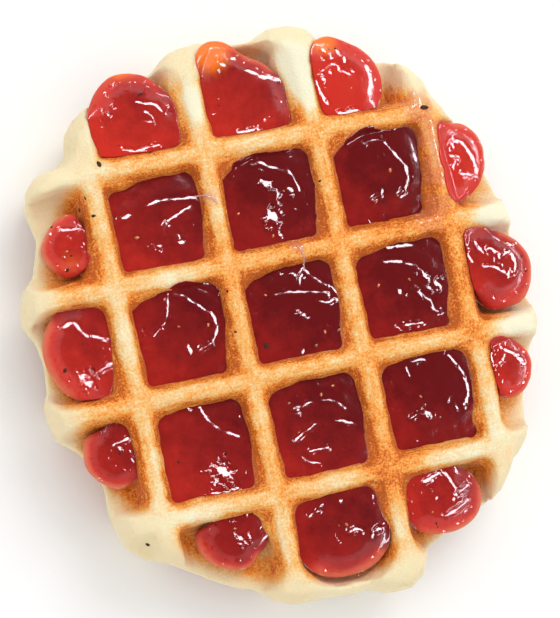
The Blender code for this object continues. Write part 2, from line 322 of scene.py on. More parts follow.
    ),
    Spoonful(
        1, 1, glow=0.46, drop=3.5,
        lean=(-50, 0.5), mound=(1.6, -1.4, 7.4, 0.5),
        folds=(((0.5, 7.4), (1.4, 5.2), (3.2, 3), (6.3, 1.2)), ((-0.8, -8.2), (1.8, -8.5), (4, -8.2))),
        dents=(
            (1.9, -4.7, 1.9), (0.6, -6.2, 0.9), (3.4, -6, 0.6), (0.2, -6.8, 0.5), (-0.4, -1.3, 0.4),
            (-1, -0.6, 0.3), (-0.2, -3.2, 0.35), (-1.8, 8.1, 0.5), (-1.6, 6.4, 0.25), (5, -7.2, 0.4),
        ),
    ),
    Spoonful(
        1, 2, glow=0.24, drop=3.1,
        lean=(-60, 0.3), mound=(0, -0.4, 7.8, 0.5),
        folds=(
            ((-3.9, 3.2), (-2.6, 4.2), (-0.8, 4.6)),
            ((1.8, 4.5), (3.8, 3.9), (5.4, 2.2)),
            ((-5.8, -1.9), (-3.6, -0.8), (-0.9, 0.3)),
            ((3.2, 0.2), (4.6, -0.3), (6.2, -1)),
            ((-3, -4.5), (0.4, -4.4)),
            ((-4.6, -5.4), (-3.8, -6.4), (-1.7, -7)),
        ),
        dents=(
            (-3.4, 3.6, 0.6), (-5.8, -1.8, 0.4), (3.4, -5.6, 0.35), (-0.2, -5.7, 0.25),
            (-4.4, 5.2, 0.35),
        ),
    ),
    Spoonful(
        1, 3, glow=0.14, drop=3.1,
        lean=(50, 0.6), mound=(0.6, 1.6, 7.4, 0.5),
        folds=(
            ((5.4, 7.6), (7, 4.8), (7.9, 2.2), (7.5, -0.6), (6.5, -2.6)),
            ((-4.4, -2.5), (-2.6, -1.8), (-0.8, -2.2)),
            ((-1.8, 8), (-0.4, 8.3), (0.4, 8)),
            ((-3.2, 7), (-3, 5.6)),
        ),
        dents=(
            (-1, -2.2, 1.1), (-0.4, -2.9, 0.5), (3.8, -0.4, 0.5), (2.2, 0.2, 0.25), (4.8, -2.2, 0.6),
            (6.4, -2, 0.4), (-6.6, 5, 0.4), (4.6, 8.2, 0.5),
        ),
    ),
    Spoonful(
        1, 4, glow=0.76, drop=3.6, swell=2.1, seat=(-4.7, 3.2), blush=0.85,
        lean=(120, 0.2), mound=(-5.2, 3.4, 4, 0.3),
        folds=(
            ((-6.4, 7.6), (-7.8, 7.2), (-8.7, 5.6), (-8.2, 4)),
            ((-8.2, 4), (-6.8, 4.4), (-5.5, 5.8), (-6.4, 7.6)),
            ((-5.4, 6.4), (-3.6, 5.2), (-3, 4)),
        ),
        dents=((-3.6, 5, 0.5), (-2.6, 3.2, 0.4), (-7.8, 2.2, 0.3)),
        shore=(
            (-8.6, 7.7), (-8, 9.3), (-6.2, 9.5), (-4.1, 8.4), (-1.8, 7), (-0.5, 4.6), (-0.8, 1.6),
            (-2.1, -1), (-4.2, -2.6), (-6.6, -2.7), (-8.1, -1.8),
        ),
    ),
    Spoonful(
        0, 1, glow=0.6, drop=4.5, swell=1.7, seat=(1.4, 4.6), blush=0.8,
        lean=(90, 0.6), mound=(2, 4.2, 4.6, 0.3),
        folds=(((1.9, 5.2), (2.6, 4.6), (2.3, 3.6), (3.4, 3.4)),),
        dents=((2.6, 4.4, 0.7), (2.4, 3.5, 0.5), (4.3, 4.6, 0.5), (4.5, 3.4, 0.35), (3.2, 3.6, 0.35)),
        shore=((5.5, 1.6), (4.1, -1), (1.3, -1.4), (-1.5, -0.3), (-4.2, 1.9), (-5.4, 4.8), (-5.6, 7.6)),
    ),
    Spoonful(
        0, 2, glow=0.39, drop=3.2, swell=1.3, seat=(-0.2, 1.2), blush=0.8,
        lean=(60, 0.5), mound=(0, 1.3, 7, 0.3),
        folds=(
            ((-5.8, 5.5), (-4.2, 6), (-2.8, 7.2)),
            ((1, 1.2), (2.2, 1.6), (3.5, 0.8)),
            ((5.2, -0.6), (5.8, 0.1), (6.8, 0.4)),
        ),
        dents=((0.6, 7.2, 0.5), (7, 6.9, 0.35), (-1.3, 0, 0.6), (-4.8, 5.8, 0.4), (-4.8, -5, 0.4)),
    ),
    Spoonful(
        0, 3, glow=0.66, drop=3.7, swell=1.7, seat=(-1.5, 2.9), blush=0.85,
        lean=(90, 0.3), mound=(-1.2, 3.2, 5.4, 0.3),
        folds=(
            ((-4.6, 7.2), (-2.6, 7.8), (-0.6, 8.4), (0.2, 7.2), (0.7, 5.6), (1.3, 4), (0.2, 2.7)),
            ((1.4, 3.6), (3, 4.4), (4.2, 5.4), (4.9, 6.8)),
            ((-2, 0), (0.4, 0.6), (3, 2)),
        ),
        dents=(
            (-3.6, 5.6, 0.4), (-5.6, 5.6, 0.3), (-8.4, 4.6, 0.35), (-3, 3.7, 0.5), (0.9, 3.4, 0.6),
            (-6.8, 7, 0.3), (4.4, 6.4, 0.4),
        ),
    ),
)

# Dark specks on the crust: x and y from the middle pocket's centre, and length, all millimetres.
CRUST_SPECKS = (
    (-31, 34.5, 1.4), (-34.8, 28.7, 0.9), (-35.9, 27.2, 1), (-34, 25.1, 0.9), (-12.3, 6.3, 0.6),
    (-12.4, -1.5, 0.7), (9.7, 23.4, 0.7), (33, 33.5, 2), (-36.3, -37, 1.2),
)

# Patches of crust made darker, then lighter, mostly by baking and partly as painted light: x, y and
# radius in millimetres, and how much.
TOAST_AND_PAINTED_LIGHT_PATCHES = (
    (0, 0, 36, 0.06), (24, 9, 11, 0.22), (33, 2, 8, 0.26), (31, 18, 8, 0.3), (33, -11, 5, 0.2),
    (12, -24, 9, 0.18), (11, -34, 5, 0.42), (22, 33, 7, 0.2), (11, 33, 4, 0.12), (33, -11, 4, 0.14),
    (33, 9, 4, 0.12), (34.5, 0, 4, 0.12), (0, 11, 4, 0.08), (22, 14.8, 3, 0.3), (33, 33, 5, 0.34),
    (11, 22, 7, 0.16), (11, 11, 4, 0.1), (0, 11, 7, 0.14), (-11, 8, 5, 0.12), (-11, -4, 5, 0.1),
    (0, -11, 6, 0.12), (11, -11, 5, 0.08), (-11, -24, 5, 0.1), (-11, -33, 5, 0.14), (-11, -44, 5, 0.14),
    (-10, 33, 6, 0.08), (-10.5, 12, 4, 0.16), (-36, -9.5, 4, 0.2), (-38.5, 12, 3.5, 0.12),
    (-22, 33, 4, 0.14), (33, -22, 3.5, 0.12), (11, -22, 3, 0.08), (-35.5, -22, 4, 0.45),
    (-35.5, 22, 4, 0.12), (-22, 11, 5, -0.18), (-33, 6, 7, -0.14), (-33, 33, 5, -0.2),
    (-33, -33, 5, -0.06), (33, -33, 4, -0.08), (-33, -28, 8, -0.1), (0, 33, 5, -0.08),
    (0, -33, 4.5, -0.14), (24, -33, 7, -0.22), (33, -27, 7, -0.18), (-11, 44, 7, -0.26),
    # Among the lighter patches, the palest are painted light: the ridge ends at the right are whitened
    # where they catch the light, and shaded hollows by the top and bottom edges are lightened.
    (11, 44, 7, -0.3), (8.5, 48.5, 5, -1), (30, 41.5, 5, -0.8), (44.5, 11, 6.5, -0.85),
    (44.5, -11, 6.5, -0.85), (-29.9, -22, 3.4, -0.55), (-14.9, -43, 3.2, -0.75), (-15.5, -38, 3, -0.35),
    (-25.5, -36.5, 3.5, -0.4), (7.6, -44, 3, -0.45), (-2, -52.5, 6, -0.7), (9.5, 41.5, 3.5, -0.55),
    (42.8, 8.5, 3, -0.35), (38.6, -27.5, 4, -0.4), (-13, 43, 4, -0.25), (14.8, -22, 2.8, -0.35),
    (-30.5, 0, 4, -0.15),
)

# Crust wetted by jam away from the spoonfuls: x, y and radius in millimetres, and how wet.
WET_PATCHES = (
    (36.2, 25.5, 3.8, 1.2), (36, 18.5, 3, 1), (32.5, 21, 3.2, 0.7), (31, 14.5, 2.6, 0.45),
    (33.5, 28, 3.6, 0.75), (32, 34, 3.4, 0.7), (29, 12, 3, 0.45), (2.6, 12, 1.3, 0.85),
    (-11.5, 24.5, 1.8, 0.5), (-40, 8, 2.4, 0.35),
)

# Thin strings of jam: points as x, y in millimetres from the middle pocket's centre.
JAM_THREADS = (
    ((2.6, 12.4), (3.4, 10.8), (3.6, 9.2), (3.4, 7.2)),
    ((-14.6, 25.3), (-13.0, 25.2), (-11.4, 24.2), (-10.6, 22.8)),
)

# Seeds on the jam: row, column, x and y from the pocket's centre and length, in millimetres.
JAM_SEEDS = (
    (3, 3, 2.1, 1, 1), (2, 2, 4.7, -4.9, 0.8), (2, 2, 7.4, -5.1, 0.8), (2, 2, 2.5, -7.1, 0.8),
    (1, 1, 2, -8, 0.9), (0, 2, 0.8, 2.6, 0.8), (3, 1, -4.6, -2.2, 1), (3, 2, -6.7, -1.5, 0.7),
    (3, 2, -1.1, -7, 0.7), (2, 1, 5.1, 0.9, 0.8), (2, 3, -5, 1.7, 0.8), (2, 3, 1.1, 1.6, 0.7),
    (1, 2, 1.5, 5.6, 0.8), (1, 2, -4.9, 5.3, 0.7), (1, 2, 4.1, 6.8, 0.7), (1, 3, -1.7, 1.2, 0.7),
    (4, 2, -0.6, 6.2, 0.9), (4, 3, -4.8, 4.2, 0.8), (2, 4, -1, 4.6, 0.8),
)

# Dark pips in the jam, in the same way.
JAM_PIPS = (
    (2, 2, -6.8, -5.2, 1.3), (4, 1, 1.5, 2.1, 1.2), (2, 0, -1, -2, 1), (3, 0, 3.4, -5.6, 0.9),
    (3, 0, 2.2, 3, 0.7), (1, 1, -5.8, -1.1, 0.7), (2, 4, 2, -1.4, 0.6), (0, 3, -4, -1, 0.6),
)

# The camera's place round the waffle, and the windows that the jam mirrors into it: how high and
# how far away they hang, and on which sides. In degrees and metres.
AZIMUTH, ELEVATION, ROLL = -74.98, 79.0, 63.0
CAMERA_DISTANCE = 0.374
AIM_MM = (-3.2, 1.0)  # from the middle pocket's centre
WINDOW_HEIGHT = 52.0
WINDOW_DISTANCE = 0.7
WINDOW_SIDES = (-35.0, 15.0, 65.0, 115.0)


def pointing(around, up):
    """A direction: degrees from +X towards +Y, and degrees above the table."""
    around, up = math.radians(around), math.radians(up)
    return Vector((math.cos(around) * math.cos(up), math.sin(around) * math.cos(up), math.sin(up)))


VIEW = pointing(AZIMUTH - 90.0, ELEVATION)
AIM = Vector((LATTICE.x + AIM_MM[0] * MM, LATTICE.y + AIM_MM[1] * MM, CROWN))
CAMERA = AIM + VIEW * CAMERA_DISTANCE


# ---------------------------------------------------------------- shader arithmetic


class Wire:
    """A shader socket that can stand in a Python expression: each operator adds its Math node."""

    def __init__(self, tree, socket=None):
        self.tree = tree
        self.socket = socket

    def node(self, kind, settings=None, inputs=None, output=0):
        """Adds a node: settings are set first, then socket values or links. Returns an output."""
        made = self.tree.nodes.new(kind)
        for name, value in (settings or {}).items():
            if name == "stops":
                set_stops(made.color_ramp, value)
            else:
                setattr(made, name, value)
        for key, value in (inputs or {}).items():
            if isinstance(value, Wire):
                self.tree.links.new(value.socket, made.inputs[key])
            else:
                made.inputs[key].default_value = value
        return Wire(self.tree, made.outputs[output])

    def maths(self, operation, *values):
        """Adds a Math node with these values, each a Wire or a number."""
        return self.node("ShaderNodeMath", {"operation": operation}, dict(enumerate(values)))

    def __add__(self, other):
        return self.maths("ADD", self, other)

    __radd__ = __add__

    def __sub__(self, other):
        return self.maths("SUBTRACT", self, other)

    def __rsub__(self, other):
        return self.maths("SUBTRACT", other, self)

    def __mul__(self, other):
        return self.maths("MULTIPLY", self, other)

    __rmul__ = __mul__

    def above(self, low, high):
        """0 below low, 1 above high, and a smooth rise between."""
        sockets = {"Value": self, "From Min": low, "From Max": high}
        return self.node("ShaderNodeMapRange", {"interpolation_type": "SMOOTHSTEP"}, sockets)

    def tint(self, under, over):
        """Mixes two colours by this factor."""
        settings = {"data_type": "RGBA", "clamp_factor": True}
        return self.node("ShaderNodeMix", settings, {0: self, 6: under, 7: over}, 2)

    def colour(self, *stops):
        """Reads this value off a ramp of colours."""
        return self.node("ShaderNodeValToRGB", {"stops": stops}, {"Fac": self}, "Color")


def opaque(colour):
    """A colour with its alpha."""
    return (*colour, 1.0)


def set_stops(ramp, stops):
    """Gives a colour ramp its stops, as (place, colour)."""
    while len(ramp.elements) > 1:
        ramp.elements.remove(ramp.elements[-1])
    ramp.elements[0].position = stops[0][0]
    ramp.elements[0].color = opaque(stops[0][1])
    for place, colour in stops[1:]:
        ramp.elements.new(place).color = opaque(colour)


def new_surface(name, **constants):
    """A Principled material with these constants. Returns it, its shader and a first Wire."""
    made = bpy.data.materials.new(name)
    made.use_nodes = True
    tree = made.node_tree
    shader = tree.nodes["Principled BSDF"]
    for socket, value in constants.items():
        shader.inputs[socket.replace("_", " ")].default_value = value
    return made, shader, Wire(tree)


def plug(wire, shader, socket):
    """Links a Wire to one of the shader's sockets."""
    wire.tree.links.new(wire.socket, shader.inputs[socket])


def attribute(board, name):
    """A number that the mesh carries on its points."""
    return board.node("ShaderNodeAttribute", {"attribute_name": name}, None, "Fac")


def place_in_mm(board):
    """Where a point of the surface lies, in millimetres."""
    at = board.node("ShaderNodeTexCoord", None, None, "Object")
    settings = {"operation": "SCALE"}
    return board.node("ShaderNodeVectorMath", settings, {"Vector": at, "Scale": 1 / MM})


def grain(board, at, size_mm, detail=3.0, roughness=0.55, stretch=(1.0, 1.0, 1.0)):
    """Cloudy noise from 0 to 1 whose lumps are about size_mm across."""
    if stretch != (1.0, 1.0, 1.0):
        at = board.node("ShaderNodeVectorMath", {"operation": "MULTIPLY"}, {0: at, 1: stretch})
    sockets = {"Vector": at, "Scale": 1 / size_mm, "Detail": detail, "Roughness": roughness}
    return board.node("ShaderNodeTexNoise", None, sockets, "Fac")


def bump(board, height, strength, distance_mm):
    """A normal that follows this height."""
    sockets = {"Height": height, "Strength": strength, "Distance": distance_mm * MM}
    return board.node("ShaderNodeBump", None, sockets, "Normal")


# ---------------------------------------------------------------- shape helpers


def smoothstep(low, high, value):
    """0 at low, 1 at high and a smooth change between. Low may be the larger."""
    share = np.clip((value - low) / (high - low), 0.0, 1.0)
    return share * share * (3 - 2 * share)


def lumps(points_mm, size_mm, seed):
    """Smooth noise from about -1 to 1 at each point, with lumps about size_mm across."""
    offset = Vector((seed * 17.31, seed * -9.73, seed * 5.19))
    scaled = (points_mm / size_mm).tolist()
    return np.array([noise.noise(Vector(p) + offset) for p in scaled])


def read_rows(source, key):
    """A vector of each item, as the rows of an array."""
    flat = np.empty(len(source) * 3, np.float32)
    source.foreach_get(key, flat)
    return flat.reshape(-1, 3).astype(float)


def read_points(mesh):
    return read_rows(mesh.vertices, "co")


def read_normals(mesh):
    return read_rows(mesh.vertex_normals, "vector")


def write_points(mesh, points):
    """Moves the points of a mesh."""
    mesh.vertices.foreach_set("co", points.astype(np.float32).ravel())
    mesh.update()


def carry(mesh, name, values):
    """Stores a number on each point of a mesh, for its material."""
    layer = mesh.attributes.new(name, "FLOAT", "POINT")
    layer.data.foreach_set("value", np.asarray(values, np.float32))


def keep_inside(points):
    """Holds points inside the CAD model's box."""
    low, high = (np.array(corner) for corner in CAD_BOX)
    return np.clip(points, low, high)


def add_piece(name, mesh, material, slot, *nodes):
    """Puts a mesh in the scene as a piece of the waffle, in place of CAD nodes if any are named."""
    piece = bpy.data.objects.new(name, mesh)
    bpy.context.scene.collection.objects.link(piece)
    mesh.materials.append(material)
    mesh.shade_smooth()
    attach(piece, BODY)
    if nodes:
        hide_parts(*nodes)
    return piece


def mesh_from(shape, name):
    """Turns a bmesh into a mesh, and frees it."""
    mesh = bpy.data.meshes.new(name)
    shape.to_mesh(mesh)
    shape.free()
    return mesh


def face_out(mesh):
    """Turns a closed mesh's faces outwards."""
    shape = bmesh.new()
    shape.from_mesh(mesh)
    bmesh.ops.recalc_face_normals(shape, faces=shape.faces)
    shape.to_mesh(mesh)
    shape.free()


def shape_tree(piece):
    """A search tree over a piece's surface."""
    mesh = piece.data
    corners = [polygon.vertices[:] for polygon in mesh.polygons]
    return BVHTree.FromPolygons([v.co.copy() for v in mesh.vertices], corners)


def spoonful_tree(jam):
    """A search tree over a finished blob of jam."""
    return shape_tree(bpy.data.objects[jam.piece])


def drop_onto(trees, x, y):
    """The highest point of some surfaces at X and Y in metres, and the normal there."""
    above = Vector((x, y, CROWN * 2))
    hits = [tree.ray_cast(above, DOWN)[:2] for tree in trees]
    hits = [hit for hit in hits if hit[0] is not None]
    if not hits:
        raise RuntimeError(f"nothing lies under {x:.4f}, {y:.4f}")
    return max(hits, key=lambda hit: hit[0].z)


def from_lattice(points):
    """X and Y of points from the middle pocket's centre, in millimetres."""
    return (points[:, 0] - LATTICE.x) / MM, (points[:, 1] - LATTICE.y) / MM


def to_ridge(along_mm):
    """Distance from the nearest ridge's centre line, in millimetres."""
    return np.abs((along_mm / PITCH_MM) % 1.0 - 0.5) * PITCH_MM


# ---------------------------------------------------------------- crust

# Amounts are millimetres.
SWAY = (0.38, 0.38, 0.22)  # long waves of the ridges along X, Y and Z
SHORT_SWAY = 0.20  # and shorter ones along X and Y
LUMPS, SMALL_LUMPS, WRINKLES, PITS = 0.16, 0.10, 0.12, 0.28
WALL_FILL = 0.5  # how much fuller the walls bake below the crowns
RIGHT_FILL = 1.3  # more on right walls, towards a pocket's lower end, and in the lowest row
TOP_ROW_FILL = 1.6  # and towards a pocket's upper end in the highest row
CORNER_FILL = (0.3, 0.6, 1.0, 2.0, 0.3)  # in the upper left corners of each row of pockets
SQUARE_FILL = 0.45  # how far the lower corners are pushed out to be square
FILLED_RADIUS = (46.0, 40.0)  # from the waffle's middle: where filling ends and starts to fade
TOP_ROW_REACH = 7.0  # how much further out it ends in the highest row


def knead(mesh, relief):
    """Bends and roughens the crust as baked batter is: swaying ridges, lumps, wrinkled walls, pits."""
    points, normals = read_points(mesh), read_normals(mesh)
    at = points / MM
    sway = np.stack([lumps(at, 15.0, seed) for seed in (1, 2, 3)], axis=1)
    sway *= np.array(SWAY)
    sway[:, 0] += SHORT_SWAY * lumps(at, 4.5, 14)
    sway[:, 1] += SHORT_SWAY * lumps(at, 4.5, 15)
    sway[:, 2] *= smoothstep(0.0, 6.0, at[:, 2])
    steep = 1 - smoothstep(0.25, 0.75, np.abs(normals[:, 2]))
    wrinkles = lumps(at * np.array([0.28, 0.28, 1.0]), 0.9, 6) * steep
    swell = LUMPS * lumps(at, 3.4, 4) + SMALL_LUMPS * lumps(at, 1.3, 5) + WRINKLES * wrinkles
    pits = PITS * smoothstep(0.50, 0.72, lumps(at, 1.5, 8))
    shift = (swell - pits) * relief
    points += sway * MM + normals * shift[:, None] * MM
    fill_corners(points)
    write_points(mesh, keep_inside(points))


def fill_corners(points):
    """Thickens the walls below the crowns, most of all where batter clung to the iron's corners."""
    x, y = from_lattice(points)
    u, v = ((along + PITCH_MM / 2) % PITCH_MM - PITCH_MM / 2 for along in (x, y))
    row = np.clip(np.round(y / PITCH_MM).astype(int) + 2, 0, 4)
    top_row = row == 4
    below = CROWN_MM - points[:, 2] / MM
    depth = smoothstep(0.3, 2.4, below) * smoothstep(11.0, 8.6, below)
    depth *= smoothstep(*FILLED_RADIUS, np.hypot(x, y) - TOP_ROW_REACH * top_row)
    thick = WALL_FILL + RIGHT_FILL * smoothstep(2.0, -8.0, v) + RIGHT_FILL * (row == 0)
    thick += TOP_ROW_FILL * top_row * smoothstep(-7.0, 1.0, v)
    corner = np.array(CORNER_FILL)[row] * smoothstep(-1.0, -8.0, u)
    square = SQUARE_FILL * smoothstep(6.4, 8.4, np.abs(u)) * smoothstep(-6.4, -8.4, v)
    right = smoothstep(5.5, 8.0, u) * thick
    left = -smoothstep(-5.5, -8.0, u) * WALL_FILL
    upper = smoothstep(5.5, 8.0, v) * (0.6 * WALL_FILL + corner)
    lower = -smoothstep(-5.5, -8.0, v) * WALL_FILL
    points[:, 0] -= (right - np.sign(u) * square + left) * depth * MM
    points[:, 1] -= (upper + lower + square) * depth * MM


# How dark the crust bakes: 0 is milk white and 1 the darkest brown.
CROWN_TOAST = 0.32  # the middles of the crowns
EDGE_TOAST = 0.22  # more at their edges
WALL_TOAST, UPRIGHT_TOAST = 0.43, 0.27  # more on the walls, and on the walls of upright ridges
DEEP_TOAST, CORNER_TOAST = 0.05, 0.10
BLOTCHES, SMALL_BLOTCHES = 0.09, 0.08
# Darkness can fall below 0, to milk white, where patches paint light.
TOAST_RANGE = (-0.25, 1.0)
RIM_RADII = (47.0, 51.5)  # where the pale rim starts along X and Y, in millimetres


def toast_crust(mesh):
    """Works out how dark each point is, from baking and from painted light on lit ridge ends and shaded
    hollows, how far it is rim, and stores both.
    """
    points = read_points(mesh)
    at = points / MM
    x, y = from_lattice(points)
    near = np.minimum(to_ridge(x), to_ridge(y))
    far = np.maximum(to_ridge(x), to_ridge(y))
    below = np.minimum(CROWN_MM - at[:, 2], at[:, 2])
    wall = smoothstep(0.15, 1.5, below)
    deep = smoothstep(1.0, 5.0, below)
    corner = (1 - smoothstep(3.2, 6.2, far)) * wall
    edge = smoothstep(0.6, 1.9, near + 0.5 * lumps(at, 2.2, 16)) * (1 - wall)
    blotch = BLOTCHES * lumps(at, 6.0, 11) + SMALL_BLOTCHES * lumps(at, 2.6, 12)
    patches = sum(
        amount * np.exp(-(((x - px) ** 2 + (y - py) ** 2) / radius**2))
        for px, py, radius, amount in TOAST_AND_PAINTED_LIGHT_PATCHES
    )
    upright = smoothstep(-1.5, 1.5, to_ridge(y) - to_ridge(x))
    browned = (WALL_TOAST + UPRIGHT_TOAST * upright) * wall
    browned += DEEP_TOAST * deep + CORNER_TOAST * corner
    toast = CROWN_TOAST + EDGE_TOAST * edge + browned + blotch + patches
    reach = np.hypot(x / RIM_RADII[0], y / RIM_RADII[1])
    rim = smoothstep(0.90, 1.03, reach + 0.02 * lumps(at, 6.0, 13))
    rim *= 1 - 0.5 * deep * smoothstep(1.04, 0.96, reach)
    carry(mesh, "along", upright)
    carry(mesh, "toast", np.clip(toast, *TOAST_RANGE))
    carry(mesh, "rim", rim)


WET_TOP_MM = (5.0, 2.0)  # below the crowns: where the wet patches end and start to fade
WET_MARGIN_MM = 0.9  # how far from a spoonful the crust is wet


def wet_crust(mesh):
    """Stores how wet with jam each point of the crust is."""
    points = read_points(mesh)
    x, y = from_lattice(points)
    wet = np.zeros(len(points))
    low, high = (CROWN_MM - depth for depth in WET_TOP_MM)
    top = smoothstep(low, high, points[:, 2] / MM)
    ragged = 1 + 0.5 * lumps(points / MM, 2.0, 33)
    for px, py, radius, amount in WET_PATCHES:
        away = np.hypot(x - px, y - py) * ragged / radius
        wet = np.maximum(wet, amount * smoothstep(1.1, 0.7, away) * top)
    margin = 1.5 * MM
    for jam in SPOONFULS:
        tree = spoonful_tree(jam)
        low, high = (np.array(corner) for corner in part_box(jam.node))
        near = np.all((points > low - margin) & (points < high + margin), axis=1)
        for index in np.nonzero(near)[0]:
            distance = tree.find_nearest(Vector(points[index]))[3]
            wet[index] = max(wet[index], (1 - distance / (WET_MARGIN_MM * MM)) ** 3)
    carry(mesh, "wet", np.clip(wet, 0, 1))


def crust_surface(look):
    """Batter that goes from milk white to dark brown, glossy where it is wet. Its milk white is mostly
    painted light, on lit ridge ends and in shaded hollows.
    """
    made, shader, board = new_surface(
        "baked_batter",
        Subsurface_Weight=0.22,
        Subsurface_Scale=0.0025,
        IOR=1.4,
        Specular_IOR_Level=0.3,
        Coat_Roughness=0.12,
    )
    at = place_in_mm(board)
    toast = attribute(board, "toast")
    rim = attribute(board, "rim")
    wet = attribute(board, "wet")
    speckle = grain(board, at, 0.42, 4.0, 0.75)
    cloud = grain(board, at, 2.4, 4.0, 0.6)
    patch = grain(board, at, 6.0, 3.0, 0.6)
    across = grain(board, at, 0.7, 3.0, 0.6, (0.22, 1.0, 1.0))
    upright = grain(board, at, 0.7, 3.0, 0.6, (1.0, 0.22, 1.0))
    streak = across + (upright - across) * attribute(board, "along")
    freckle = grain(board, at, 0.5, 2.0, 0.5).above(0.60, 0.72)
    crumb = grain(board, at, 0.6, 2.0, 0.5).above(0.62, 0.70)
    fine = (speckle - 0.5) * 1.9 + (cloud - 0.5) * 0.5 + (patch - 0.5) * 0.35 + (streak - 0.5) * 0.8
    spots = freckle * toast * 0.28 + streak.above(0.60, 0.68) * toast * 0.10 - crumb * 0.10
    baked = (toast + fine * (0.34 + toast) + spots) * (1 - rim * 0.95) + rim * (speckle + 0.1) * 0.13
    colour = baked.colour(
        # Milk white here is mostly painted light on lit ridge ends and in shaded hollows.
        (0.0, look.milk),
        (0.04, look.cream),
        (0.20, look.pale),
        (0.40, look.golden),
        (0.62, look.amber),
        (0.82, look.brown),
        (1.0, look.dark),
    )
    plug((wet * 0.6).tint(colour, opaque(look.stain)), shader, "Base Color")
    plug(0.62 - wet * 0.4 + (speckle - 0.5) * 0.2, shader, "Roughness")
    plug(wet.above(0.1, 0.7) * grain(board, at, 0.8, 2.0).above(0.48, 0.58), shader, "Coat Weight")
    pores = grain(board, at, 0.28, 3.0, 0.6)
    plug(bump(board, speckle * 0.6 + pores * 0.4, 0.9, 0.45), shader, "Normal")
    return made


def bake_crust(look):
    """The visible crust: an even, fine copy of the CAD dough, kneaded, toasted and given painted light.
    """
    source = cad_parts["waffle"].data.copy()
    blank = bpy.data.objects.new("dough_blank", source)
    bpy.context.scene.collection.objects.link(blank)
    even = blank.modifiers.new("even_mesh", "REMESH")
    even.mode = "VOXEL"
    even.voxel_size = look.voxel
    soft = blank.modifiers.new("soften", "SMOOTH")
    soft.factor = 0.5
    soft.iterations = 3
    depsgraph = bpy.context.evaluated_depsgraph_get()
    mesh = bpy.data.meshes.new_from_object(blank.evaluated_get(depsgraph))
    bpy.data.objects.remove(blank)
    mesh.materials.clear()
    mesh.name = "baked_crust"
    knead(mesh, look.relief)
    toast_crust(mesh)
    crust = add_piece("baked_crust", mesh, crust_surface(look), "crust", "waffle")
    crust.visible_glossy = False
    return crust


# ---------------------------------------------------------------- jam

JAM_CELLS = 96  # cells along each side of the grid that is bent into a blob
SKIRT_ROWS = 5
SINK_MM = 0.5  # how far a blob sinks into the walls that hold it
CLIMB_MM = 4.0  # and into a ridge that it climbs
FOLD_MM = 0.58  # half the width of a fold
FILM_MM = 0.7  # thickness of the jam that lies on a ridge
THREAD_MM = 0.22
THREAD_SIDES = 8
LID_MM = 0.02  # how far the jam stays below the top of the CAD model
FOOT_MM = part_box("jam_22")[0].z / MM - 0.45  # height of a blob's foot, just inside the crust


def mirror_slope(nx, ny, x, y):
    """How steeply skin at X and Y must fall, along a level normal, to show the camera a window."""
    to_camera = np.stack([CAMERA.x - x, CAMERA.y - y, np.full_like(x, CAMERA.z - CROWN)])
    vx, vy, vz = to_camera / np.linalg.norm(to_camera, axis=0)
    along = nx * vx + ny * vy
    height, ring = (WINDOW_DISTANCE * f(math.radians(WINDOW_HEIGHT)) for f in (math.sin, math.cos))
    zenith = np.full_like(x, math.radians(90.0 - WINDOW_HEIGHT))
    for _ in range(3):
        push = along + np.sqrt(along**2 + np.sin(zenith) ** 2 - vx**2 - vy**2)
        ax, ay = push * nx - vx, push * ny - vy
        inward = (x * ax + y * ay) / np.hypot(ax, ay)
        run = np.sqrt(inward**2 + ring**2 - x**2 - y**2) - inward
        zenith = np.arctan2(run, height - CROWN)
    return push / (np.cos(zenith) + vz)


def rounded(line):
    """Rounds the corners of a line of points by cutting them twice."""
    points = np.array(line)
    for _ in range(2):
        if len(points) > 2:
            first, second = points[:-1], points[1:]
            cut = np.stack([0.75 * first + 0.25 * second, 0.25 * first + 0.75 * second], axis=1)
            points = np.concatenate([points[:1], cut.reshape(-1, 2), points[-1:]])
    return points


def nearest_on(line, x, y):
    """The nearest point of a line to each place, and the line's level normal there."""
    best = np.full(x.shape, math.inf)
    foot, normal = np.zeros((len(x), 2)), np.zeros((len(x), 2))
    here = np.stack([x, y], axis=-1)
    window = pointing(sum(WINDOW_SIDES) / len(WINDOW_SIDES), 0.0).xy
    for start, end in zip(line, line[1:]):
        run = end - start
        share = np.clip(((here - start) @ run) / (run @ run), 0, 1)
        place = start + share[:, None] * run
        away = np.hypot(*(here - place).T)
        side = np.array((run[1], -run[0])) / math.hypot(*run)
        if side @ np.array(window) < 0:
            side = -side
        nearer = away < best
        best = np.where(nearer, away, best)
        foot[nearer], normal[nearer] = place[nearer], side
    return best, foot, normal


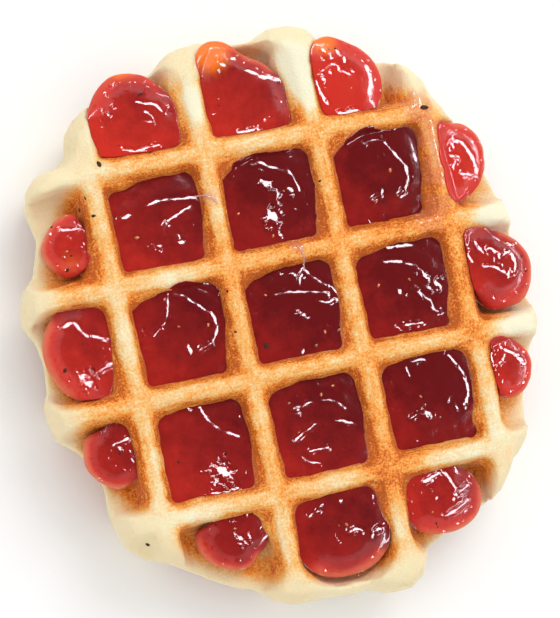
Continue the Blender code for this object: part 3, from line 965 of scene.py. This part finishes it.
class Pocket:
    """A pocket and the blob in it, measured by rays from the blob's seat. Lengths are mm."""

    def __init__(self, jam, crust_tree):
        self.jam = jam
        self.seed = jam.row * 5 + jam.column
        self.seat = jam.centre + Vector((*jam.seat, 0.0)) * MM
        self.level = CROWN_MM - jam.drop
        self.crust = crust_tree
        self.angles = np.linspace(0, math.tau, 180, endpoint=False)
        self.ring = self.shore(shape_tree(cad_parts[jam.node]))
        walls = self.walls(self.level)
        for _ in range(2):
            self.edge = self.outline(walls)
            edge = self.from_seat(self.edge, self.angles)
            walls = self.walls(self.level + self.broad(*edge))
        self.edge = self.outline(walls)

    def from_seat(self, reach, angle):
        """X and Y, from the pocket's centre, of what lies this far and this way from the seat."""
        return self.jam.seat[0] + reach * np.cos(angle), self.jam.seat[1] + reach * np.sin(angle)

    def layer(self, x, y, depth):
        """These places in a layer of noise that no other blob reads."""
        return np.stack([x, y, np.full_like(x, self.seed * depth)], axis=-1)

    def reach(self, tree, angle, z):
        """Distance from the seat to a surface, outwards at one height."""
        start = Vector((self.seat.x, self.seat.y, z * MM))
        hit = tree.ray_cast(start, Vector((math.cos(angle), math.sin(angle), 0.0)), PITCH)
        return (hit[3] if hit[0] else PITCH) / MM

    def walls(self, heights):
        """Distances from the seat to the crust all round, at these heights."""
        heights = np.broadcast_to(heights, self.angles.shape)
        return np.array([self.reach(self.crust, a, z) for a, z in zip(self.angles, heights)])

    def blur(self, ring, times):
        """Evens out a ring of values."""
        for _ in range(times):
            ring = (np.roll(ring, 1) + 2 * ring + np.roll(ring, -1)) / 4
        return ring

    def shore(self, blob):
        """How far the jam would spread with no walls: a rounded outline through four reaches."""
        reaches, snug = [], []
        for quarter in range(4):
            free = self.reach(blob, quarter * math.pi / 2, self.level - 0.1)
            wall = self.reach(self.crust, quarter * math.pi / 2, self.level)
            snug.append(wall - free < 1.3)
            reaches.append(wall + 0.8 if snug[-1] else free)
        ring = []
        for angle in self.angles:
            quarter = int(angle // (math.pi / 2))
            after = (quarter + 1) % 4
            turn = angle - quarter * math.pi / 2
            power = (2.1, 2.3, 8.0)[snug[quarter] + snug[after]]
            across = (math.cos(turn) / reaches[quarter]) ** power
            along = (math.sin(turn) / reaches[after]) ** power
            ring.append((across + along) ** (-1 / power))
        ring = np.array(ring)
        self.climb = np.zeros(len(ring))
        if self.jam.shore:
            line = np.array(self.jam.shore) - np.array(self.jam.seat)
            bearing = np.arctan2(line[:, 1], line[:, 0])
            laid = np.interp(self.angles, bearing, np.hypot(*line.T), period=math.tau)
            inside = (self.angles - bearing[-1]) % math.tau < (bearing[0] - bearing[-1]) % math.tau
            self.climb = self.blur(inside.astype(float), 36)
            ring = ring + (laid - ring) * self.climb
        return self.blur(ring, 8)

    def outline(self, walls):
        """The blob's edge: sunk a little into the walls that hold it, and free elsewhere."""
        self.held = self.blur(1 - smoothstep(0.0, 1.0, walls - self.ring), 12)
        stop = walls + SINK_MM + CLIMB_MM * smoothstep(0.45, 1.0, self.climb)
        return self.blur(np.minimum(stop, self.ring), 2)

    def around(self, ring, angle):
        """Reads a ring of values at any angles."""
        return np.interp(angle % math.tau, np.append(self.angles, math.tau), np.append(ring, ring[0]))

    def broad(self, x, y):
        """The tilt and the mound of the upper surface, above the blob's level."""
        side, rise = self.jam.lean
        lean = math.radians(side)
        tilt = rise * (x * math.cos(lean) + y * math.sin(lean)) / 8.0
        cx, cy, radius, tall = self.jam.mound
        at = self.layer(x, y, 7.0)
        wobble = 1 + 0.14 * lumps(at, 4.5, 21) + 0.05 * lumps(at, 1.6, 31)
        away = np.hypot(x - cx, y - cy) / (radius * wobble)
        return tilt + np.maximum(tall - radius * np.interp(away, *MOUND_FALL), 0.0)

    def skin(self, x, y):
        """The upper surface before its folds."""
        offset = np.stack([x, y], axis=-1) - np.array(self.jam.seat)
        angle = np.arctan2(offset[:, 1], offset[:, 0])
        share = np.clip(np.hypot(*offset.T) / self.around(self.edge, angle), 0, 1)
        held = self.around(self.held, angle)
        dome = 1 - 0.15 * share**2 - (1 - held) * 0.85 * (1 - np.sqrt(1 - share**9))
        calm = 1 - smoothstep(0.80, 0.97, share)
        at = self.layer(x, y, 11.0)
        rough = 0.06 * lumps(at, 3.6, 23) + 0.025 * lumps(at, 1.7, 24) + 0.008 * lumps(at, 0.8, 25)
        return self.level + self.broad(x, y) + self.jam.swell * dome + rough * calm

    def fold(self, x, y, height, line):
        """Tips a narrow strip of skin along a line, so that it catches a window."""
        line = rounded(line)
        away, foot, normal = nearest_on(line, x, y)
        near = away < 4 * FOLD_MM
        at = self.layer(x[near], y[near], 3.0)
        ragged = 0.34 * lumps(at, 1.1, 27) + 0.14 * lumps(at, 0.45, 28)
        side = np.stack([x, y], axis=-1)[near] - foot[near]
        across = np.sum(side * normal[near], axis=1)
        nx, ny = normal[near].T
        fx, fy = foot[near].T
        centre = self.jam.centre
        slope = mirror_slope(nx, ny, centre.x + fx * MM, centre.y + fy * MM)
        strip = self.skin(fx, fy) - slope * across
        weight = np.exp(-(((away[near] + ragged) / FOLD_MM) ** 4))
        height[near] += (strip - height[near]) * weight
        self.gloss[near] = np.maximum(self.gloss[near], weight)

    def glints(self):
        """Tiny facets here and there near the edge."""
        dice = random.Random(self.seed)
        for _ in range(12):
            angle = dice.uniform(0, math.tau)
            reach = self.around(self.edge, angle) * dice.uniform(0.70, 0.93)
            yield *self.from_seat(reach, angle), dice.uniform(0.18, 0.34)

    def climb_crust(self, x, y, height, share):
        """Lifts the jam to a film over the crust, where its shore runs up on a ridge."""
        middle = self.jam.centre / MM
        starts = [Vector((middle.x + px, middle.y + py, 2 * CROWN_MM)) * MM for px, py in zip(x, y)]
        hits = [self.crust.ray_cast(start, DOWN)[0] for start in starts]
        side = JAM_CELLS + 1
        under = np.array([hit.z if hit else 0.0 for hit in hits]).reshape(side, side) / MM
        for _ in range(10):
            wide = np.pad(under, 1, mode="edge")
            under = (wide[:-2, 1:-1] + wide[2:, 1:-1] + wide[1:-1, :-2] + wide[1:-1, 2:]) / 4
        film = under.ravel() + FILM_MM * (np.sqrt(1 - share**6) - 0.1)
        angle = np.arctan2(y - self.jam.seat[1], x - self.jam.seat[0])
        film -= 9.0 * (1 - smoothstep(0.1, 0.5, self.around(self.climb, angle)))
        gap = height - film
        return (height + film + np.sqrt(gap**2 + 0.45)) / 2

    def dent(self, x, y, height, spot):
        """Tips a small facet of skin towards one of the first three windows."""
        cx, cy, radius = spot
        away = np.hypot(x - cx, y - cy)
        near = away < 3 * radius
        at = self.layer(x[near], y[near], 5.0)
        ragged = 1 + 0.7 * lumps(at, 0.9, 29) + 0.3 * lumps(at, 0.4, 30)
        side = math.radians(WINDOW_SIDES[(self.seed + int(cx * 3)) % 3])
        nx, ny = math.cos(side), math.sin(side)
        middle = self.skin(np.array([cx]), np.array([cy]))[0]
        place = (np.array([start + at * MM]) for at, start in zip((cx, cy), self.jam.centre))
        slope = mirror_slope(nx, ny, *place)[0]
        facet = middle - slope * ((x[near] - cx) * nx + (y[near] - cy) * ny)
        weight = np.exp(-((away[near] * ragged / radius) ** 6))
        height[near] += (facet - height[near]) * weight
        self.gloss[near] = np.maximum(self.gloss[near], weight)

    def surface(self, x, y, share):
        """The whole upper surface. It notes in gloss where folds and dents are."""
        top = self.skin(x, y)
        self.gloss = np.zeros(len(x))
        for line in self.jam.folds:
            self.fold(x, y, top, line)
        for spot in (*self.jam.dents, *self.glints()):
            self.dent(x, y, top, spot)
        if self.jam.shore:
            top = self.climb_crust(x, y, top, share)
        return np.minimum(top, CAD_BOX[1].z / MM - LID_MM)

    def tones(self, x, y, top, share, angle):
        """What the jam's material reads: glow with painted light and shade, thin free edges, orange
        stretches and dull rind.
        """
        jam = self.jam
        held = self.around(self.held, angle)
        # Painted light: free edges facing out from the waffle count as lit, and are painted brighter
        # and thin orange there.
        outward = math.atan2(jam.row - 2, jam.column - 2)
        lit = (1 - held) * smoothstep(-0.5, 0.6, np.cos(angle - outward))
        cloud = 0.10 * lumps(np.stack([x, y, top], axis=-1), 4.0, 26 + self.seed)
        cx, cy, radius, _ = jam.mound
        lump = smoothstep(1.1, 0.9, np.hypot(x - cx, y - cy) / radius)
        # Painted light and shade: every blob is brighter towards its lower left and darker towards its
        # upper right.
        glow = jam.glow + 0.34 * (-x - y) / 16 - 0.10 * lump + cloud
        film = jam.blush * self.around(self.climb, angle) * smoothstep(0.6, 0.85, share)
        bare = (1 - held) * smoothstep(0.45, 0.72, share)
        ax, ay, spread, amount = jam.amber
        return {
            "glow": glow + 0.35 * lit * smoothstep(0.4, 0.95, share),
            "thin": jam.blush * lit * smoothstep(0.66, 1.0, share),
            "amber": amount * np.exp(-((x - ax) ** 2 + (y - ay) ** 2) / spread**2),
            "rind": np.maximum(bare, film) * (1 - self.gloss),
        }


def mound_fall():
    """How a mound falls away: shares of its shoulder's radius, and the drop per radius."""
    share = np.linspace(0, 4, 401)
    slope = 0.04 * share + 0.04 * smoothstep(0.9, 1.1, share)
    return share, np.cumsum(slope) * (share[1] - share[0])


MOUND_FALL = mound_fall()


def disc_grid(cells):
    """A square grid bent into a unit disc. Returns shares of the radius, angles, faces and rim."""
    line = np.linspace(-1, 1, cells + 1)
    u, v = (axis.ravel() for axis in np.meshgrid(line, line, indexing="ij"))
    x, y = u * np.sqrt(1 - v * v / 2), v * np.sqrt(1 - u * u / 2)
    side = cells + 1
    faces = [
        (i * side + j, (i + 1) * side + j, (i + 1) * side + j + 1, i * side + j + 1)
        for i in range(cells)
        for j in range(cells)
    ]
    rim = [i * side for i in range(cells)]
    rim += [cells * side + j for j in range(cells)]
    rim += [i * side + cells for i in range(cells, 0, -1)]
    rim += list(range(cells, 0, -1))
    return np.minimum(np.hypot(x, y), 1.0), np.arctan2(y, x), faces, rim


def skirt_rows(seat, rim):
    """Rows of points that sink from a blob's rim to the pocket's floor, drawn in to its seat."""
    for row in range(1, SKIRT_ROWS + 1):
        turn = row / SKIRT_ROWS * math.pi / 2
        draw_in = 1 - 0.16 * (1 - math.cos(turn))
        level = seat + (rim[:, :2] - seat) * draw_in
        z = rim[:, 2] + (FOOT_MM - rim[:, 2]) * math.sin(turn)
        yield np.column_stack([level, z])


def skirt_faces(above, first):
    """Faces from a rim down through the rows of points that start at first, and the base."""
    count = len(above)
    for row in range(SKIRT_ROWS):
        below = [first + row * count + i for i in range(count)]
        for i in range(count):
            after = (i + 1) % count
            yield above[i], above[after], below[after], below[i]
        above = below
    yield tuple(above)


def spoon(jam, crust_tree, grid, material):
    """One blob: a bent disc for its upper surface, and a skirt that sinks to the pocket's floor."""
    pocket = Pocket(jam, crust_tree)
    share, angle, faces, rim = grid
    x, y = pocket.from_seat(share * pocket.around(pocket.edge, angle), angle)
    top = pocket.surface(x, y, share)
    disc = np.column_stack([x, y, top])
    points = np.concatenate([disc, *skirt_rows(np.array(jam.seat), disc[rim])])
    mesh = bpy.data.meshes.new(jam.piece)
    placed = keep_inside(points * MM + np.array(jam.centre))
    mesh.from_pydata(placed.tolist(), [], [*faces, *skirt_faces(rim, len(x))])
    face_out(mesh)
    fade = np.repeat(1 - 0.9 * np.arange(1, SKIRT_ROWS + 1) / SKIRT_ROWS, len(rim))
    for name, values in pocket.tones(x, y, top, share, angle).items():
        carry(mesh, name, np.concatenate([values, np.tile(values[rim], SKIRT_ROWS) * fade]))
    return add_piece(jam.piece, mesh, material, "jam", jam.node)


def thread_ring(shape, path, index):
    """The ring of points round a thread at one place of its path."""
    run = path[min(index + 1, len(path) - 1)] - path[max(index - 1, 0)]
    side = run.cross(UP).normalized()
    taper = math.sin(math.pi * (index + 0.6) / (len(path) + 0.2)) ** 0.5
    ring = []
    for step in range(THREAD_SIDES):
        turn = math.tau * step / THREAD_SIDES
        out = side * math.cos(turn) + UP * math.sin(turn)
        ring.append(shape.verts.new(path[index] + out * THREAD_MM * MM * taper))
    return ring


def pull_threads(crust_tree):
    """Lays thin strings of jam over the ridges and the spoonfuls."""
    trees = [crust_tree, *(spoonful_tree(jam) for jam in SPOONFULS)]
    shape = bmesh.new()
    for line in JAM_THREADS:
        places = [(LATTICE.x + x * MM, LATTICE.y + y * MM) for x, y in rounded(line)]
        path = [drop_onto(trees, x, y)[0] for x, y in places]
        rings = [thread_ring(shape, path, index) for index in range(len(path))]
        for first, second in zip(rings, rings[1:]):
            for k in range(THREAD_SIDES):
                after = (k + 1) % THREAD_SIDES
                shape.faces.new((first[k], first[after], second[after], second[k]))
        shape.faces.new(rings[0])
        shape.faces.new(rings[-1])
    mesh = mesh_from(shape, "jam_threads")
    face_out(mesh)
    write_points(mesh, keep_inside(read_points(mesh)))
    # The threads' pale pink colour is partly painted highlight.
    syrup, _, _ = new_surface(
        "pale_syrup_painted_highlight", Base_Color=(0.86, 0.50, 0.48, 1), Roughness=0.1, Coat_Weight=1.0, Alpha=0.6
    )
    add_piece("jam_threads", mesh, syrup, "jam")


def jam_surface(look):
    """Jam from wine red to scarlet, with painted light and shade in its glow, orange and clear where it
    is thin, and dull on its bare rind.
    """
    made, shader, board = new_surface(
        "strawberry_jam",
        Subsurface_Weight=0.35,
        Subsurface_Scale=0.0015,
        Subsurface_Radius=(1.0, 0.25, 0.15),
        IOR=1.42,
        Specular_IOR_Level=0.3,
        Coat_Roughness=0.015,
    )
    at = place_in_mm(board)
    clouds = grain(board, at, 2.6, 3.0)
    pulp = grain(board, at, 0.7, 4.0, 0.65)
    glow = attribute(board, "glow") + (clouds - 0.5) * 0.50 + (pulp - 0.5) * 0.32
    thin = attribute(board, "thin") + (clouds - 0.5) * 0.5
    amber = attribute(board, "amber") + (clouds - 0.5) * 0.3
    colour = glow.colour((0.0, look.wine), (0.45, look.red), (1.0, look.scarlet))
    colour = thin.above(0.15, 1.1).tint(colour, opaque(look.thin))
    colour = amber.above(0.1, 0.8).tint(colour, opaque(look.amber))
    plug(colour, shader, "Base Color")
    dull = attribute(board, "rind") * (1 - grain(board, at, 1.1, 2.0).above(0.60, 0.66))
    plug(0.16 + dull * 0.6, shader, "Roughness")
    plug(1 - dull, shader, "Coat Weight")
    plug(bump(board, pulp, 0.25, 0.12), shader, "Normal")
    return made


# ---------------------------------------------------------------- seeds and specks


SEED_RINGS, SEED_SIDES = 8, 10


def seed_shape(length, wide, thick):
    """A small flat teardrop, pointing along +Y. Its rows of points run from the top pole down."""
    shape = bmesh.new()
    rows = []
    for ring in range(SEED_RINGS + 1):
        down = math.pi * ring / SEED_RINGS
        count = SEED_SIDES if 0 < ring < SEED_RINGS else 1
        row = []
        for side in range(count):
            turn = math.tau * (side / SEED_SIDES + 0.25)
            x, y = (math.sin(down) * f(turn) / 2 for f in (math.cos, math.sin))
            taper = 1 - 0.45 * max(0.0, 2 * y) ** 1.5
            z = math.cos(down) / 2 * thick * taper
            row.append(shape.verts.new((x * wide * taper, y * length, z)))
        rows.append(row * (SEED_SIDES // count))
    for upper, lower in zip(rows, rows[1:]):
        for side in range(SEED_SIDES):
            after = (side + 1) % SEED_SIDES
            corners = (upper[side], lower[side], lower[after], upper[after])
            shape.faces.new(tuple(dict.fromkeys(corners)))
    return shape


def scatter(name, spots, sizes):
    """Lays a seed of each size at each spot, as one mesh. A spot is (place, normal, turn)."""
    joined = bmesh.new()
    for (place, normal, turn), size in zip(spots, sizes):
        shape = seed_shape(*size)
        lie = normal.to_track_quat("Z", "Y").to_matrix().to_4x4()
        shape.transform(Matrix.Translation(place) @ lie @ Matrix.Rotation(turn, 4, "Z"))
        piece = mesh_from(shape, "piece")
        joined.from_mesh(piece)
        bpy.data.meshes.remove(piece)
    return mesh_from(joined, name)


def jam_spots(dice, table, extra, spread):
    """Spots on the spoonfuls from a table, and a few random ones, with their lengths."""
    spots, lengths = [], []
    for jam in SPOONFULS:
        tree = spoonful_tree(jam)
        x0 = LATTICE.x / MM + (jam.column - 2) * PITCH_MM
        y0 = LATTICE.y / MM + (jam.row - 2) * PITCH_MM
        low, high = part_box(jam.node)
        half = (high - low).xy / MM / 2 * spread
        here = [spot[2:] for spot in table if spot[:2] == (jam.row, jam.column)]
        for _ in range(extra):
            angle, share = dice.uniform(0, math.tau), math.sqrt(dice.random())
            x = jam.seat[0] + half.x * share * math.cos(angle)
            y = jam.seat[1] + half.y * share * math.sin(angle)
            here.append((x, y, dice.uniform(0.4, 0.7)))
        for x, y, length in here:
            place, normal = drop_onto([tree], (x0 + x) * MM, (y0 + y) * MM)
            spots.append((place, normal, dice.uniform(0, math.tau)))
            lengths.append(length)
    return spots, lengths


# ---------------------------------------------------------------- stage

FLOOR_HALF = 1.5
KEY_TOWARDS, KEY_SIZE = (50.0, 50.0), (0.5, 0.5)
VEIL_TOWARDS, VEIL_SIZE = (40.0, 42.0), (1.1, 0.45)
WINDOW_SIZE = (0.38, 0.11)
WHITE, VEIL_TINT, WINDOW_TINT = (1.0, 1.0, 1.0), (0.80, 0.72, 1.0), (0.97, 0.93, 1.0)


def lay_floor(look):
    """A plain floor under the waffle."""
    shape = bmesh.new()
    bmesh.ops.create_grid(shape, x_segments=1, y_segments=1, size=FLOOR_HALF)
    mesh = mesh_from(shape, "table_top")
    floor = bpy.data.objects.new("table_top", mesh)
    bpy.context.scene.collection.objects.link(floor)
    made, _, _ = new_surface("white_table", Base_Color=opaque(look.floor), Roughness=0.9)
    mesh.materials.append(made)
    floor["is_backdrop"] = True


def softbox(name, towards, distance, size, radiance, colour):
    """An area light aimed at the waffle, as bright as radiance says."""
    direction = pointing(*towards)
    data = bpy.data.lights.new(name, "AREA")
    data.shape = "RECTANGLE"
    data.size, data.size_y = size
    data.energy = radiance * math.pi * size[0] * size[1]
    data.color = colour
    lamp = bpy.data.objects.new(name, data)
    lamp.location = direction * distance
    lamp.rotation_mode = "QUATERNION"
    lamp.rotation_quaternion = direction.to_track_quat("Z", "Y")
    bpy.context.scene.collection.objects.link(lamp)
    return lamp


def light_studio(look):
    """Soft light for the crust, and bright windows that only shiny surfaces show."""
    world = bpy.data.worlds.new("white_room")
    world.use_nodes = True
    backdrop = world.node_tree.nodes["Background"]
    backdrop.inputs["Color"].default_value = opaque(WHITE)
    backdrop.inputs["Strength"].default_value = look.room
    world.cycles_visibility.glossy = False
    bpy.context.scene.world = world
    key = softbox("key_light", KEY_TOWARDS, 1.0, KEY_SIZE, look.key, WHITE)
    key.visible_glossy = False
    shiny = [softbox("veil", VEIL_TOWARDS, 1.0, VEIL_SIZE, look.veil, VEIL_TINT)]
    for index, side in enumerate(WINDOW_SIDES):
        where = (side, WINDOW_HEIGHT), WINDOW_DISTANCE
        shiny.append(softbox(f"window_{index}", *where, WINDOW_SIZE, look.window, WINDOW_TINT))
    for lamp in shiny:
        lamp.visible_diffuse = False


def place_camera(look):
    """The camera, which looks down at the waffle from its place round it."""
    data = bpy.data.cameras.new("camera")
    data.sensor_width = 36.0
    data.lens = look.lens
    data.clip_start, data.clip_end = 0.01, 10.0
    camera = bpy.data.objects.new("camera", data)
    camera.location = CAMERA
    camera.rotation_mode = "QUATERNION"
    turn = Matrix.Rotation(math.radians(ROLL), 4, "Z").to_quaternion()
    camera.rotation_quaternion = (-VIEW).to_track_quat("-Z", "Y") @ turn
    bpy.context.scene.collection.objects.link(camera)
    bpy.context.scene.camera = camera


# ---------------------------------------------------------------- settings


def colour_property(name, description, default):
    """A colour in a group of settings."""
    return FloatVectorProperty(
        name=name, description=description, subtype="COLOR", size=3, min=0, max=1, default=default
    )


class WaffleCrustLook(PropertyGroup):
    """How fine and rough the crust is, and its colours"""

    voxel: FloatProperty(
        name="Mesh size",
        description="Edge length of the crust's fine mesh",
        unit="LENGTH",
        default=0.0006,
        min=0.0003,
        max=0.002,
        precision=5,
    )
    relief: FloatProperty(
        name="Relief", description="Depth of the lumps, wrinkles and pits", default=1.0, min=0, max=3
    )
    # Milk white is mostly painted light: it whitens ridge ends that catch the light and lightens shaded
    # hollows.
    milk: colour_property("Milk", "Palest ends of the ridges", (1.00, 0.93, 0.68))
    cream: colour_property("Cream", "Unbaked rim", (1.00, 0.90, 0.61))
    pale: colour_property("Pale", "Lightly baked crowns", (1.00, 0.75, 0.42))
    golden: colour_property("Golden", "Golden crust", (1.00, 0.565, 0.185))
    amber: colour_property("Amber", "Well baked crust", (1.00, 0.385, 0.055))
    brown: colour_property("Brown", "Browned walls", (0.94, 0.245, 0.016))
    dark: colour_property("Dark", "Darkest spots", (0.60, 0.12, 0.010))
    stain: colour_property("Stain", "Crust soaked with jam", (0.76, 0.22, 0.11))


class WaffleJamLook(PropertyGroup):
    """Colours of the jam"""

    wine: colour_property("Wine", "Deep jam", (0.16, 0.008, 0.010))
    red: colour_property("Red", "Middling jam", (0.34, 0.016, 0.014))
    scarlet: colour_property("Scarlet", "Jam with light in it", (0.66, 0.036, 0.022))
    amber: colour_property("Amber", "Orange stretches", (0.95, 0.20, 0.018))
    thin: colour_property("Thin", "Thin free edges", (0.76, 0.19, 0.10))


class WaffleBitsLook(PropertyGroup):
    """Seeds and specks"""

    seeds: IntProperty(name="Seeds", description="Small extra seeds in each spoonful", default=1, min=0)
    seed: colour_property("Seed", "Colour of the seeds", (0.66, 0.20, 0.05))
    speck: colour_property("Speck", "Colour of the dark specks", (0.035, 0.012, 0.006))


class WaffleStageLook(PropertyGroup):
    """Floor, lights and lens"""

    floor: colour_property("Floor", "Colour of the floor", (0.95, 0.95, 0.95))
    room: FloatProperty(name="Room", description="Brightness of the room", default=0.90)
    key: FloatProperty(name="Key", description="Brightness of the key light", default=3.8)
    window: FloatProperty(name="Window", description="Brightness of the windows", default=20.0)
    veil: FloatProperty(name="Veil", description="Brightness of the violet veil", default=0.28)
    lens: FloatProperty(
        name="Lens", description="Focal length", subtype="DISTANCE_CAMERA", default=115.4
    )


# ---------------------------------------------------------------- operators


class WAFFLE_OT_bake_crust(Operator):
    """Bake the crust over the CAD dough"""

    bl_idname = "waffle.bake_crust"
    bl_label = "Bake Crust"

    def execute(self, context):
        bake_crust(context.scene.waffle_crust)
        return {"FINISHED"}


class WAFFLE_OT_spoon_jam(Operator):
    """Spoon jam into every pocket, and stain the crust that it touches"""

    bl_idname = "waffle.spoon_jam"
    bl_label = "Spoon Jam"

    def execute(self, context):
        look = context.scene.waffle_jam
        crust = bpy.data.objects["baked_crust"]
        tree = shape_tree(crust)
        grid = disc_grid(JAM_CELLS)
        material = jam_surface(look)
        for jam in SPOONFULS:
            spoon(jam, tree, grid, material)
        pull_threads(tree)
        wet_crust(crust.data)
        return {"FINISHED"}


class WAFFLE_OT_scatter_seeds(Operator):
    """Scatter seeds over the jam"""

    bl_idname = "waffle.scatter_seeds"
    bl_label = "Scatter Seeds"

    def execute(self, context):
        look = context.scene.waffle_bits
        spots, lengths = jam_spots(random.Random(11), JAM_SEEDS, look.seeds, 0.78)
        sizes = [(length * MM, length * MM * 0.66, length * MM * 0.40) for length in lengths]
        mesh = scatter("strawberry_seeds", spots, sizes)
        made, shader, board = new_surface("strawberry_seed", Roughness=0.3, Coat_Weight=0.6)
        mottle = grain(board, place_in_mm(board), 0.9, 2.0).above(0.35, 0.6)
        dark = tuple(0.35 * c for c in look.seed)
        plug(mottle.tint(opaque(dark), opaque(look.seed)), shader, "Base Color")
        add_piece("strawberry_seeds", mesh, made, "jam")
        return {"FINISHED"}


class WAFFLE_OT_drop_specks(Operator):
    """Drop dark specks on the crust and the jam"""

    bl_idname = "waffle.drop_specks"
    bl_label = "Drop Specks"

    def execute(self, context):
        look = context.scene.waffle_bits
        dice = random.Random(5)
        crust = shape_tree(bpy.data.objects["baked_crust"])
        spots, lengths = [], []
        for x, y, length in CRUST_SPECKS:
            place, normal = drop_onto([crust], LATTICE.x + x * MM, LATTICE.y + y * MM)
            spots.append((place, normal, dice.uniform(0, math.tau)))
            lengths.append(length)
        more = jam_spots(dice, JAM_PIPS, 1, 0.85)
        spots += more[0]
        lengths += more[1]
        sizes = []
        for length in lengths:
            sizes.append((length * MM, length * MM * dice.uniform(0.45, 0.8), length * MM * 0.25))
        mesh = scatter("dark_specks", spots, sizes)
        made, shader, board = new_surface("dark_speck", Roughness=0.7, Specular_IOR_Level=0.1)
        mottle = grain(board, place_in_mm(board), 0.4, 2.0)
        lighter = tuple(min(1.0, 3 * c) for c in look.speck)
        plug(mottle.tint(opaque(look.speck), opaque(lighter)), shader, "Base Color")
        add_piece("dark_specks", mesh, made, "crust")
        return {"FINISHED"}


class WAFFLE_OT_set_table(Operator):
    """Lay the floor, light it and place the camera"""

    bl_idname = "waffle.set_table"
    bl_label = "Set Table"

    def execute(self, context):
        look = context.scene.waffle_stage
        lay_floor(look)
        light_studio(look)
        place_camera(look)
        context.scene.view_settings.view_transform = "Standard"
        return {"FINISHED"}


class WAFFLE_PT_sidebar(Panel):
    """The waffle's steps and settings"""

    bl_label = "Belgian Waffle"
    bl_idname = "WAFFLE_PT_sidebar"
    bl_space_type = "VIEW_3D"
    bl_region_type = "UI"
    bl_category = "Waffle"

    def draw(self, context):
        for step in STEPS:
            self.layout.operator(step.bl_idname)
        for group in SETTINGS:
            box = self.layout.box()
            settings = getattr(context.scene, group)
            for name in settings.bl_rna.properties.keys():
                if name not in ("rna_type", "name"):
                    box.prop(settings, name)


SETTINGS = {
    "waffle_crust": WaffleCrustLook,
    "waffle_jam": WaffleJamLook,
    "waffle_bits": WaffleBitsLook,
    "waffle_stage": WaffleStageLook,
}
STEPS = (
    WAFFLE_OT_bake_crust,
    WAFFLE_OT_spoon_jam,
    WAFFLE_OT_scatter_seeds,
    WAFFLE_OT_drop_specks,
    WAFFLE_OT_set_table,
)
CLASSES = (*SETTINGS.values(), *STEPS, WAFFLE_PT_sidebar)


def register():
    for cls in CLASSES:
        bpy.utils.register_class(cls)
    for name, group in SETTINGS.items():
        setattr(bpy.types.Scene, name, PointerProperty(type=group))


def unregister():
    for name in SETTINGS:
        delattr(bpy.types.Scene, name)
    for cls in reversed(CLASSES):
        bpy.utils.unregister_class(cls)


def main():
    register()
    for step in STEPS:
        family, name = step.bl_idname.split(".")
        getattr(getattr(bpy.ops, family), name)()
    boxes = {"cad": CAD_BOX, "visual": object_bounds()}
    {k: [list(corner) for corner in box] for k, box in boxes.items()}


if __name__ == "__main__":
    main()
